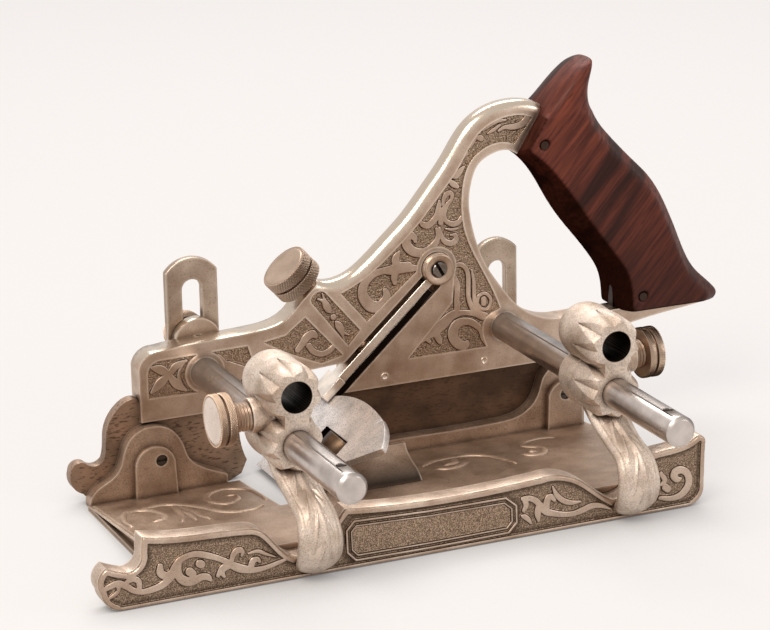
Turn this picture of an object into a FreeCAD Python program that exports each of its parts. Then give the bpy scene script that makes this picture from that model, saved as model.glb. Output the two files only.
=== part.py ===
"""Bull-nose plow and filletster plane, as an assembly of separate pieces.

Drawn in millimetres with x = 0 on the front fence rod (+x to the handle), y = 0 on the stock's near
face (-y to the fence) and z = 0 on the floor (+z up). At the end the whole plane is moved sideways
so that its origin lies under the middle of its box.
"""
import FreeCAD, Part
import Sketcher
import math
import os

from FreeCAD import Placement, Rotation, Vector

doc = FreeCAD.newDocument("bullnose_plane")

# Driving sizes in millimetres, angles in degrees
SIZES = [
    ("pattern_length", 100.0, "reference length of the pattern; the free outlines are shares of it"),
    ("rod_spacing", 104.775, "front rod to rear rod, 4 1/8 in"),
    ("rod_height", 38.1, "rod axis above the floor, 1 1/2 in"),
    ("rod_diameter", 9.525, "fence rods, 3/8 in"),
    ("rod_reach", 117.0, "stock's near face to the rods' free ends"),
    ("rod_seat", 7.5, "depth of a rod in the stock"),
    ("rod_chamfer", 1.0, "chamfer on the rods' free ends"),
    ("tommy_hole", 1.6, "radius of the cross hole in a rod"),
    ("tommy_inset", 8.3, "cross hole from the rod's free end"),
    ("running_clearance", 0.05, "radial clearance of shafts and screws that turn or slide"),
    ("side_clearance", 0.2, "clearance beside flat pieces that move"),
    ("overrun", 2.0, "how far a cut runs past the face that it opens"),
    ("stock_thickness", 8.0, "main casting across"),
    ("rail_round", 3.2, "rounding of the top rail"),
    ("panel_depth", 0.7, "depth of the pebbled ornament panels"),
    ("ring_width", 1.9, "raised ring round a rod socket or the pivot"),
    ("skate_setback", 2.0, "near face of the skates behind the stock's near face"),
    ("skate_thickness", 4.0, "skate plates across"),
    ("rivet_radius", 1.2, "skate rivets"),
    ("throat_angle", 42.0, "slope of the cutter above the sole"),
    ("throat_foot", 20.6, "where the cutter's back meets the sole, behind the front rod"),
    ("throat_width", 7.4, "throat slot across the slope"),
    ("throat_depth", 6.0, "depth of the throat slot from the near face"),
    ("throat_top", 82.4, "upper end of the throat slot along the slope"),
    ("cutter_thickness", 2.4, "cutter"),
    ("cutter_gap", 0.05, "cutter above its bed"),
    ("cutter_length", 79.0, "cutter along the slope"),
    ("cutter_width", 33.4, "cutter beyond the stock's near face, to the fence side"),
    ("cutter_far", 7.5, "cutter beyond the stock's near face, to the far side"),
    ("shank_width", 5.4, "cutter's shank across"),
    ("window_low", 17.6, "lower edge of the adjusting window along the slope"),
    ("window_high", 23.7, "upper edge of the adjusting window along the slope"),
    ("window_near", 27.0, "near edge of the adjusting window in front of the stock"),
    ("window_far", 10.0, "far edge of the adjusting window in front of the stock"),
    ("adjuster_y", 16.0, "adjusting nut in front of the stock's near face"),
    ("adjuster_drop", 4.2, "adjusting nut's axis behind the cutter's back"),
    ("adjuster_flange", 7.0, "radius of the adjusting nut's collar"),
    ("adjuster_hub", 4.0, "radius of the adjusting nut's knurled hub"),
    ("adjuster_hub_length", 6.0, "length of the knurled hub"),
    ("flange_low", 17.9, "lower face of the collar along the slope"),
    ("flange_thickness", 5.5, "collar of the adjusting nut"),
    ("stud_radius", 1.9, "stud that carries the adjusting nut"),
    ("stud_low", 7.0, "lower end of the stud along the slope"),
    ("stud_high", 33.0, "upper end of the stud along the slope"),
    ("pivot_along", 85.5, "lever pivot along the slope"),
    ("pivot_rise", 5.6, "lever pivot in front of the cutter's bed plane"),
    ("hub_radius", 5.2, "lever cap's hub"),
    ("hub_proud", 2.0, "hub in front of the stock's near face"),
    ("pivot_radius", 2.55, "pivot screw"),
    ("screw_slot", 0.9, "width of a screwdriver slot"),
    ("slot_depth", 1.0, "depth of a screwdriver slot"),
    ("lever_thickness", 2.8, "lever cap bar across the slope"),
    ("lever_low", 33.0, "lower end of the lever cap's bar along the slope"),
    ("toe_low", 29.8, "lower edge of the lever cap's toe"),
    ("toe_high", 1.8, "upper edge of the lever cap's toe clear of the casting's arch and foot"),
    ("toe_far", 8.6, "toe beyond the stock's near face, to the far side"),
    ("cap_along", 9.1, "cap screw's axis along the slope from the block's shoulder"),
    ("cap_seat", 2.5, "cap screw's seat above the shoulder line of the casting"),
    ("cap_seat_half", 4.2, "half the flat seat of the cap screw"),
    ("cap_shank", 2.6, "cap screw's shank radius"),
    ("cap_head", 7.9, "cap screw's head radius"),
    ("cap_head_gap", 3.1, "cap screw's head above its seat"),
    ("cap_head_thickness", 8.0, "cap screw's head"),
    ("cap_tip_gap", 0.1, "cap screw's tip above the lever cap"),
    ("head_groove", 0.9, "groove between the two bands of a knurled head"),
    ("bore_pitch", 14.9, "lower bore to upper bore of the fence bosses"),
    ("boss_front", 76.5, "stock's near face to the fence bosses' front faces"),
    ("boss_length", 25.0, "fence bosses along the rods"),
    ("boss_face", 6.3, "radius of a boss at its front face"),
    ("boss_belly", 8.8, "largest radius of a boss"),
    ("boss_tail", 6.4, "radius of a boss at its back"),
    ("boss_web", 7.6, "web between a pair of bosses"),
    ("wall_front", 83.5, "stock's near face to the fence wall's front face"),
    ("wall_thickness", 6.0, "fence wall"),
    ("arm_width", 13.8, "fence arms across"),
    ("arm_thickness", 5.4, "fence arms through"),
    ("arm_offset", 0.8, "arms' middles behind the rods"),
    ("fence_screw_y", 65.0, "fence thumbscrews in front of the stock's near face"),
    ("fence_screw_radius", 3.97, "fence thumbscrew's thread"),
    ("fence_screw_head", 7.6, "fence thumbscrew's head radius"),
    ("fence_head_thickness", 5.0, "fence thumbscrew's head"),
    ("front_head_standoff", 17.0, "front thumbscrew's head from the rod's axis"),
    ("rear_head_standoff", 14.2, "rear thumbscrew's head from the rod's axis"),
    ("screw_tip", 3.4, "thumbscrews' tips from the rod's axis"),
    ("screw_boss_radius", 5.3, "boss round a fence thumbscrew"),
    ("screw_boss_reach", 11.0, "that boss's face from the rod's axis"),
    ("bed_gap", 0.3, "filletster bed short of the fence wall"),
    ("bed_low", 1.6, "bed's thickness at the stock"),
    ("bed_high", 8.8, "bed's thickness at the fence"),
    ("bed_nose", 41.5, "bed's front end ahead of the front rod"),
    ("bed_tail", 28.0, "bed's rear end behind the rear rod"),
    ("bed_rim", 1.8, "rim below the recess in the bed's end face"),
    ("rim_depth", 1.6, "depth of that recess"),
    ("mouth_front", 9.0, "front edge of the bed's mouth behind the front rod"),
    ("mouth_near", 4.6, "near edge of the bed's mouth beyond the cutter"),
    ("ear_thickness", 5.0, "bed's ears, from the skate's near face"),
    ("pad_proud", 2.0, "raised pads on the ears"),
    ("frog_height", 13.5, "frog above the floor"),
    ("frog_end", 57.0, "frog's rear end behind the front rod"),
    ("bed_screw_radius", 1.4, "bed screws' shank"),
    ("bed_screw_head", 1.9, "bed screws' head radius"),
    ("bed_screw_height", 13.2, "bed screws above the floor"),
    ("bed_head_depth", 3.0, "bed screws' head below the pad's face"),
    ("tote_thickness", 22.0, "handle across"),
    ("tote_bevel", 4.6, "bevel along the handle's edges"),
    ("tote_pin_radius", 1.4, "handle pins"),
    ("tongue_thickness", 3.0, "casting's tongues inside the handle"),
    ("tongue_radius", 6.0, "upper tongue"),
    ("tongue_width", 13.0, "lower tongue along the rail"),
    ("tongue_height", 9.5, "lower tongue above the rail"),
    ("stop_width", 17.2, "front depth stop's bar"),
    ("stop_thickness", 2.8, "depth stops' bars"),
    ("stop_slot", 3.3, "half width of the front stop's slot"),
    ("stop_top", 72.6, "top of the front depth stop"),
    ("stop_bottom", 10.0, "underside of the stops' feet"),
    ("stop_foot", 14.0, "stops' feet, outward from the bar"),
    ("stop_centre", 0.7, "front stop's middle behind the front rod"),
    ("stop_screw_z", 7.9, "front stop's clamp screw above the rods' axes"),
    ("stop_slot_low", 34.0, "lower end of the front stop's slot"),
    ("stop_slot_high", 65.5, "upper end of the front stop's slot"),
    ("guide_radius", 7.7, "round guide boss behind the stock"),
    ("guide_height", 3.0, "guide bosses behind the stock's far face"),
    ("rear_stop_width", 14.4, "rear depth stop's bar"),
    ("rear_stop_slot", 3.1, "half width of the rear stop's slot"),
    ("rear_stop_top", 64.9, "top of the rear depth stop"),
    ("rear_stop_offset", 2.7, "rear stop's middle behind the rear rod"),
    ("rear_screw_z", 9.6, "rear stop's clamp screw below the rods' axes"),
    ("rear_slot_low", 19.0, "lower end of the rear stop's slot"),
    ("rear_slot_high", 57.3, "upper end of the rear stop's slot"),
    ("rear_guide_radius", 7.0, "rear guide boss"),
    ("clamp_radius", 2.3, "stop clamp screws' thread"),
    ("clamp_depth", 5.0, "stop clamp screws in the casting"),
    ("clamp_head", 6.5, "stop clamp screws' head radius"),
    ("clamp_head_thickness", 6.0, "stop clamp screws' head"),
    ("washer_radius", 5.6, "stop clamp washers"),
    ("washer_thickness", 1.0, "stop clamp washers"),
    ("nose_screw_radius", 1.5, "nose plate screws"),
    ("nose_screw_head", 2.9, "nose plate screws' countersunk head"),
    ("nose_head_depth", 1.5, "depth of that head"),
    ("tongue_top", 2.3375, "top of the skates' tongues below the rods"),
]

sheet = doc.addObject("Spreadsheet::Sheet", "Sizes")
for row, (alias, size, meaning) in enumerate(SIZES, start=1):
    sheet.set(f"A{row}", alias)
    sheet.set(f"B{row}", str(size))
    sheet.set(f"C{row}", meaning)
    sheet.setAlias(f"B{row}", alias)
doc.recompute()


class Values:
    """The sheet's numbers, read by name."""

    def __getattr__(self, alias):
        return float(sheet.get(alias))


size = Values()


def measure(expression):
    """The number that an expression on the sheet gives."""
    return float(sheet.evalExpression(expression))


def place(x_share, z_share):
    """A point of a free outline: it follows the rods between and below them, and runs on from
    there in shares of the pattern length."""
    between = min(max(x_share, 0), ROD_SPACING_SHARE)
    below = min(z_share, ROD_HEIGHT_SHARE)
    x = between / ROD_SPACING_SHARE * size.rod_spacing + (x_share - between) * size.pattern_length
    z = below / ROD_HEIGHT_SHARE * size.rod_height + (z_share - below) * size.pattern_length
    return (x, z)


def on_blade(y_share, along_share):
    """A point of the cutter's own outline, across and along the slope."""
    return (y_share * size.pattern_length, along_share * size.pattern_length)


def scaled(shares, where=place):
    """A whole outline given in shares, with its arcs and curves."""
    path = []
    for step in shares:
        if step[0] in ("arc", "curve"):
            path.append((step[0],) + tuple(where(*point) for point in step[1:]))
        else:
            path.append(where(*step))
    return path


def on_slope(along, rise):
    """The (x, z) of a point measured along the cutter's slope and square to it, towards the nose."""
    slope = math.radians(size.throat_angle)
    x = size.throat_foot + along * math.cos(slope) - rise * math.sin(slope)
    z = along * math.sin(slope) + rise * math.cos(slope)
    return (x, z)


# Sketches and features
PLANE_OF = {"front": "XZ_Plane", "side": "YZ_Plane", "top": "XY_Plane"}
FACES_BACK = {"front": -1.0, "side": 1.0, "top": 1.0}


def new_body(label):
    body = doc.addObject("PartDesign::Body", label)
    body.Label = label
    return body


def new_sketch(body, name, view, start):
    """An empty sketch square to y (front), x (side) or z (top), at the place that start names."""
    sketch = body.newObject("Sketcher::SketchObject", name)
    plane = [feature for feature in body.Origin.OriginFeatures if feature.Role == PLANE_OF[view]][0]
    sketch.AttachmentSupport = (plane, "")
    sketch.MapMode = "FlatFace"
    sign = "-" if FACES_BACK[view] < 0 else ""
    sketch.setExpression("AttachmentOffset.Base.z", f"{sign}({start})")
    return sketch


def draw(sketch, path):
    """A closed outline: a pair is a corner, an arc has a middle and an end, a curve its points."""
    first = Vector(path[0][0], path[0][1], 0)
    here = first
    for step in path[1:] + [path[0]]:
        if step[0] == "arc":
            middle = Vector(step[1][0], step[1][1], 0)
            end = Vector(step[2][0], step[2][1], 0)
            sketch.addGeometry(Part.Arc(here, middle, end), False)
        elif step[0] == "curve":
            points = [here] + [Vector(point[0], point[1], 0) for point in step[1:]]
            curve = Part.BSplineCurve()
            curve.interpolate(points)
            sketch.addGeometry(curve, False)
            end = points[-1]
        else:
            end = Vector(step[0], step[1], 0)
            if end.distanceToPoint(here) > Part.Precision.confusion():
                sketch.addGeometry(Part.LineSegment(here, end), False)
        here = end


def draw_circle(sketch, across, up, radius):
    """A circle whose centre and radius are expressions on the sheet."""
    centre = Vector(measure(across), measure(up), 0)
    index = sketch.addGeometry(Part.Circle(centre, Vector(0, 0, 1), measure(radius)), False)
    for kind, name, expression in (("DistanceX", "across", across), ("DistanceY", "up", up)):
        number = sketch.addConstraint(Sketcher.Constraint(kind, -1, 1, index, 3, measure(expression)))
        sketch.renameConstraint(number, f"{name}{index}")
        sketch.setExpression(f"Constraints.{name}{index}", expression)
    number = sketch.addConstraint(Sketcher.Constraint("Radius", index, measure(radius)))
    sketch.renameConstraint(number, f"radius{index}")
    sketch.setExpression(f"Constraints.radius{index}", radius)


def extrude(body, name, sketch, view, length, cutting):
    """A pad or a pocket that runs from the sketch towards the far side, +x or +z."""
    before = body.Shape.Volume if cutting else 0
    feature = body.newObject("PartDesign::Pocket" if cutting else "PartDesign::Pad", name)
    feature.Profile = sketch
    feature.Reversed = (FACES_BACK[view] < 0) != cutting
    feature.setExpression("Length", length)
    body.Tip = feature
    doc.recompute()
    if cutting and body.Shape.Volume > before * (1 - 1e-9):
        raise RuntimeError(f"{name} in {body.Label} cuts nothing")
    return feature


def slab(body, name, path, start, stop, view="front", cutting=False):
    """A plate with a drawn outline between two places, or the same shape cut away."""
    sketch = new_sketch(body, f"{name}_sketch", view, start)
    draw(sketch, path)
    return extrude(body, name, sketch, view, f"({stop}) - ({start})", cutting)


def disc(body, name, circles, start, stop, view="front", cutting=False):
    """Round plugs or holes; each circle is two places and a radius, as expressions."""
    sketch = new_sketch(body, f"{name}_sketch", view, start)
    for across, up, radius in circles:
        draw_circle(sketch, across, up, radius)
    return extrude(body, name, sketch, view, f"({stop}) - ({start})", cutting)


def edges_where(shape, wanted):
    """Names of the edges whose middle point and length satisfy a test."""
    names = []
    for number, edge in enumerate(shape.Edges, start=1):
        middle = edge.valueAt((edge.FirstParameter + edge.LastParameter) / 2)
        if wanted(middle, edge):
            names.append(f"Edge{number}")
    return names


def ease(body, name, kind, wanted, setting, expression):
    """A fillet or chamfer on the edges that satisfy a test."""
    last = body.Tip
    names = edges_where(last.Shape, wanted)
    feature = body.newObject(f"PartDesign::{kind}", name)
    feature.Base = (last, names)
    feature.setExpression(setting, expression)
    body.Tip = feature
    doc.recompute()
    return feature


# Outlines in shares of the pattern length, chosen from the photograph
ROD_SPACING_SHARE = 1.04775
ROD_HEIGHT_SHARE = 0.381
TAIL_END_SHARES = (1.785, 0.382)
GRIP_FOOT_SHARES = (1.095, 0.957)
GRIP_TOP_SHARES = (1.190, 1.107)
UPPER_PIN_SHARES = (1.160, 0.992)
LOWER_PIN_SHARES = (1.524, 0.434)
SOLE_HEIGHT_SHARE = 0.240
BLOCK_FRONT_SHARE = -0.218
BLOCK_FOOT_SHARE = 0.247
FRONT_RIVET_SHARE = 0.614

RAIL_SHARES = [("curve", (0.450, 0.615), (0.499, 0.627), (0.559, 0.665), (0.629, 0.726),
                (0.701, 0.792), (0.773, 0.875), (0.845, 0.965), (0.919, 1.066), (0.992, 1.114),
                (1.065, 1.131), (1.119, 1.130), (1.160, 1.121), GRIP_TOP_SHARES)]
FINGER_SHARES = [("curve", (1.052, 0.975), (0.998, 0.965), (0.955, 0.937), (0.933, 0.890),
                  (0.922, 0.825), (0.928, 0.757), (0.945, 0.688), (0.981, 0.599), (1.030, 0.525),
                  (1.085, 0.456), (1.139, 0.414), (1.194, 0.390), (1.270, 0.382))]
TAIL_SHARES = [TAIL_END_SHARES, (1.785, 0.362),
               ("curve", (1.700, 0.352), (1.620, 0.343), (1.520, 0.328), (1.400, 0.300),
                (1.300, 0.262), (1.200, SOLE_HEIGHT_SHARE)), (0.473, SOLE_HEIGHT_SHARE)]
ARCH_SHARES = [(0.482, 0.343), (0.360, 0.335), ("arc", (0.230, 0.312), (0.140, BLOCK_FOOT_SHARE))]
BLOCK_SHARES = [(BLOCK_FRONT_SHARE, BLOCK_FOOT_SHARE), (BLOCK_FRONT_SHARE, 0.420),
                ("arc", (-0.197, 0.456), (-0.150, 0.472)),
                ("curve", (-0.050, 0.480), (0.076, 0.485), (0.178, 0.490), (0.250, 0.502),
                 (0.300, 0.531))]
BLOCK_PANEL_SHARES = [(-0.190, 0.323), (-0.190, 0.400), ("arc", (-0.178, 0.428), (-0.150, 0.441)),
                      (0.145, 0.446), (0.158, 0.400), (0.120, 0.330), (0.050, 0.318)]
TRIANGLE_PANEL_SHARES = [(0.200, 0.450), (0.275, 0.462), (0.343, 0.512), (0.470, 0.368),
                         (0.395, 0.352), ("curve", (0.330, 0.380), (0.270, 0.410), (0.200, 0.450))]
BAND_PANEL_SHARES = [(0.364, 0.560), ("arc", (0.384, 0.588), (0.420, 0.577)), (0.532, 0.443),
                     (0.490, 0.396)]
SPANDREL_PANEL_SHARES = [(0.468, 0.574), (0.557, 0.468), (0.731, 0.610),
                         ("arc", (0.800, 0.665), (0.868, 0.590)), (0.860, 0.490), (0.700, 0.322),
                         (0.980, 0.322), ("curve", (0.978, 0.420), (1.030, 0.444)),
                         ("curve", (0.958, 0.600), (0.901, 0.740), (0.897, 0.850), (0.925, 0.945),
                          (1.000, 0.998), (1.085, 0.990)), (1.150, 1.072),
                         ("curve", (1.080, 1.085), (1.010, 1.070), (0.955, 1.035),
                          (0.890, 0.940), (0.812, 0.845), (0.735, 0.760), (0.660, 0.693),
                          (0.580, 0.630), (0.468, 0.574))]
REAR_SKATE_SHARES = [(1.280, 0.000), ("arc", (1.310, 0.050), (1.300, 0.120)),
                     (1.250, SOLE_HEIGHT_SHARE)]
NOSE_SHARES = [(-0.340, 0.000), ("arc", (-0.381, 0.012), (-0.413, 0.038)),
               ("arc", (-0.449, 0.075), (-0.449, 0.111)), ("arc", (-0.429, 0.139), (-0.393, 0.130)),
               ("arc", (-0.363, 0.123), (-0.340, 0.137)), ("curve", (-0.331, 0.187), (-0.328, 0.222),
                (-0.316, 0.259), (-0.290, 0.295), (-0.258, 0.318), (-0.238, 0.323),
                (-0.221, 0.320))]
NOSE_HEEL_SHARES = [(0.117, 0.235), ("curve", (0.114, 0.165), (0.122, 0.105), (0.137, 0.062)),
                    (0.117, 0.019), (0.075, 0.000)]
FENCE_SHARES = [(-0.580, 0.000), (1.260, 0.000), ("arc", (1.303, 0.022), (1.317, 0.070)),
                (1.320, 0.195), ("arc", (1.313, 0.222), (1.290, 0.226)),
                ("curve", (1.250, 0.207), (1.180, 0.198), (1.120, 0.190)),
                ("curve", (1.090, 0.130), (1.050, 0.082), (0.997, 0.068)),
                ("curve", (0.956, 0.096), (0.887, 0.150), (0.819, 0.178), (0.752, 0.179)),
                ("curve", (0.500, 0.170), (0.290, 0.175), (0.114, 0.191)),
                ("curve", (0.070, 0.140), (0.010, 0.082), (-0.050, 0.070)),
                ("curve", (-0.100, 0.112), (-0.148, 0.166), (-0.190, 0.182)),
                ("curve", (-0.338, 0.191), (-0.440, 0.199), (-0.514, 0.213)), (-0.518, 0.165),
                ("arc", (-0.533, 0.124), (-0.563, 0.113)), ("arc", (-0.594, 0.123), (-0.625, 0.137)),
                ("arc", (-0.651, 0.100), (-0.643, 0.060)), ("arc", (-0.622, 0.018), (-0.580, 0.000))]
LEFT_PANEL_SHARES = [(-0.575, 0.030), (-0.110, 0.030), ("curve", (-0.120, 0.090), (-0.160, 0.140),
                     (-0.205, 0.155)), (-0.350, 0.163), (-0.468, 0.170),
                     ("arc", (-0.508, 0.104), (-0.560, 0.083)), (-0.604, 0.100),
                     ("arc", (-0.618, 0.068), (-0.570, 0.030))]
MIDDLE_PANEL_SHARES = [(0.108, 0.028), (0.930, 0.028), ("curve", (0.915, 0.070), (0.860, 0.118),
                       (0.800, 0.148)), (0.740, 0.152), (0.500, 0.145), (0.108, 0.160)]
END_PANEL_SHARES = [(1.150, 0.035), (1.250, 0.035), ("arc", (1.280, 0.050), (1.288, 0.085)),
                    (1.288, 0.180), (1.240, 0.172), (1.150, 0.166)]
FRONT_EAR_SHARES = [(-0.405, 0.000), ("curve", (-0.396, 0.045), (-0.365, 0.070), (-0.327, 0.091),
                     (-0.301, 0.124), (-0.288, 0.167), (-0.268, 0.207), (-0.232, 0.233),
                     (-0.184, 0.240), (-0.147, 0.231), (-0.115, 0.205), (-0.092, 0.164),
                     (-0.076, 0.120), (-0.055, 0.096), (-0.020, 0.074), (0.052, 0.043)),
                    (0.052, 0.000)]
FRONT_PAD_SHARES = [(-0.262, 0.010), (-0.258, 0.125), ("arc", (-0.190, 0.180), (-0.128, 0.126)),
                    (-0.122, 0.010)]
REAR_EAR_SHARES = [(0.560, 0.010), (0.560, 0.062), ("curve", (0.620, 0.064), (0.800, 0.062),
                   (1.000, 0.064), (1.085, 0.076), (1.130, 0.104), (1.157, 0.150),
                   (1.172, 0.195), (1.205, 0.226), (1.250, 0.236), (1.292, 0.222),
                   (1.316, 0.180), (1.324, 0.120)), (1.324, 0.010)]
REAR_PAD_SHARES = [(1.180, 0.010), (1.183, 0.125), ("arc", (1.248, 0.180), (1.308, 0.125)),
                   (1.311, 0.010)]
LOBE_SHARES = [(-0.454, 0.281), ("arc", (-0.407, 0.327), (-0.307, 0.360))]
LOBE_TOP_SHARES = (-0.207, 0.370)
LOBE_BACK_SHARES = (-0.100, 0.360)
BUD_SHARES = [(0.34, 0.76), (0.66, 1.00), (0.80, 0.97)]
ARM_SHARES = [(-0.3108, -0.099, 0.80), (0.2797, -0.259, 0.92), (0.7528, -0.385, 0.86),
              (1.1811, -0.480, 0.90), (1.3446, -0.640, 1.00), (1.2513, -0.815, 0.98),
              (0.9418, -0.910, 0.72)]
FRONT_SCREW_SHARE = -0.173
REAR_SCREW_SHARE = 1.245
GRIP_SHARES = [GRIP_FOOT_SHARES,
               ("curve", (1.139, 0.925), (1.190, 0.865), (1.244, 0.771), (1.299, 0.689),
                (1.354, 0.621), (1.408, 0.550), (1.442, 0.490), (1.454, 0.440), (1.458, 0.382)),
               TAIL_END_SHARES, (1.802, 0.373), ("arc", (1.829, 0.387), (1.822, 0.416)),
               ("curve", (1.786, 0.451), (1.752, 0.483), (1.716, 0.534), (1.688, 0.595),
                (1.661, 0.661), (1.635, 0.719), (1.600, 0.786), (1.557, 0.845), (1.505, 0.897),
                (1.455, 0.949), (1.408, 1.000), (1.371, 1.050), (1.350, 1.098), (1.344, 1.136),
                (1.350, 1.170), (1.366, 1.208), (1.381, 1.240)),
               ("arc", (1.379, 1.257), (1.362, 1.256)),
               ("curve", (1.323, 1.235), (1.281, 1.205), (1.215, 1.137), GRIP_TOP_SHARES)]
GRIP_FACE_SHARES = [(1.1045, 0.9721),
                    ("curve", (1.160, 0.926), (1.214, 0.865), (1.269, 0.795), (1.324, 0.717),
                     (1.379, 0.642), (1.435, 0.566), (1.465, 0.518), (1.481, 0.447),
                     (1.485, 0.382)),
                    (1.740, 0.382), (1.757, 0.383), ("arc", (1.768, 0.394), (1.762, 0.414)),
                    ("curve", (1.734, 0.444), (1.704, 0.476), (1.672, 0.528), (1.650, 0.580),
                     (1.622, 0.647), (1.597, 0.702), (1.566, 0.763), (1.526, 0.817),
                     (1.476, 0.868), (1.426, 0.920), (1.378, 0.972), (1.334, 1.032),
                     (1.311, 1.088), (1.304, 1.136), (1.311, 1.176), (1.326, 1.204),
                     (1.337, 1.220)),
                    ("arc", (1.334, 1.230), (1.321, 1.226)),
                    ("curve", (1.306, 1.213), (1.280, 1.190), (1.226, 1.132), (1.1815, 1.0935))]

pivot_x, pivot_z = on_slope(size.pivot_along, size.pivot_rise)
pivot_place = (str(pivot_x), str(pivot_z))


def rise_of(x, z):
    """Distances of a point along the cutter's slope and square to it."""
    slope = math.radians(size.throat_angle)
    x -= size.throat_foot
    return (x * math.cos(slope) + z * math.sin(slope), z * math.cos(slope) - x * math.sin(slope))


def cap_screw_seat():
    """The cap screw's place along the slope, and its seat on the line between block and rail."""
    along_low, rise_low = rise_of(*place(*BLOCK_SHARES[-1][-1]))
    along_high, rise_high = rise_of(*place(*RAIL_SHARES[0][1]))
    share = size.cap_along / (along_high - along_low)
    return (along_low + size.cap_along, rise_low + (rise_high - rise_low) * share + size.cap_seat)


def toe_limit():
    """How far up the slope the lever's toe reaches, short of the casting's foot and arch."""
    slope = math.radians(size.throat_angle)
    rise = size.cutter_gap + size.cutter_thickness + size.side_clearance + size.lever_thickness
    to_foot = place(*TAIL_SHARES[-1])[0] - size.toe_high - on_slope(0, rise)[0]
    to_arch = place(*ARCH_SHARES[1])[1] - size.toe_high - on_slope(0, rise)[1]
    return min(to_foot / math.cos(slope), to_arch / math.sin(slope))


cap_axis, cap_seat_rise = cap_screw_seat()
toe_top = toe_limit()
mouth_y = size.cutter_width + size.mouth_near
tongue_z = size.rod_height - size.rod_diameter / 2 - size.tongue_top
FRONT_SCREW_Z = "Sizes.rod_height + Sizes.stop_screw_z"
REAR_SCREW_Z = "Sizes.rod_height - Sizes.rear_screw_z"
FAR_FACE = "Sizes.stock_thickness"
SKATE_NEAR = "Sizes.skate_setback"
SKATE_FAR = "Sizes.skate_setback + Sizes.skate_thickness"
ROD_Z = "Sizes.rod_height"
ROD_XS = ("0", "Sizes.rod_spacing")
middle_y = size.stock_thickness / 2


def sloping_strip(low, high, bottom, top):
    """A strip along the cutter's slope, between two distances along it and two rises."""
    return [on_slope(low, bottom), on_slope(high, bottom), on_slope(high, top), on_slope(low, top)]


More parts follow.
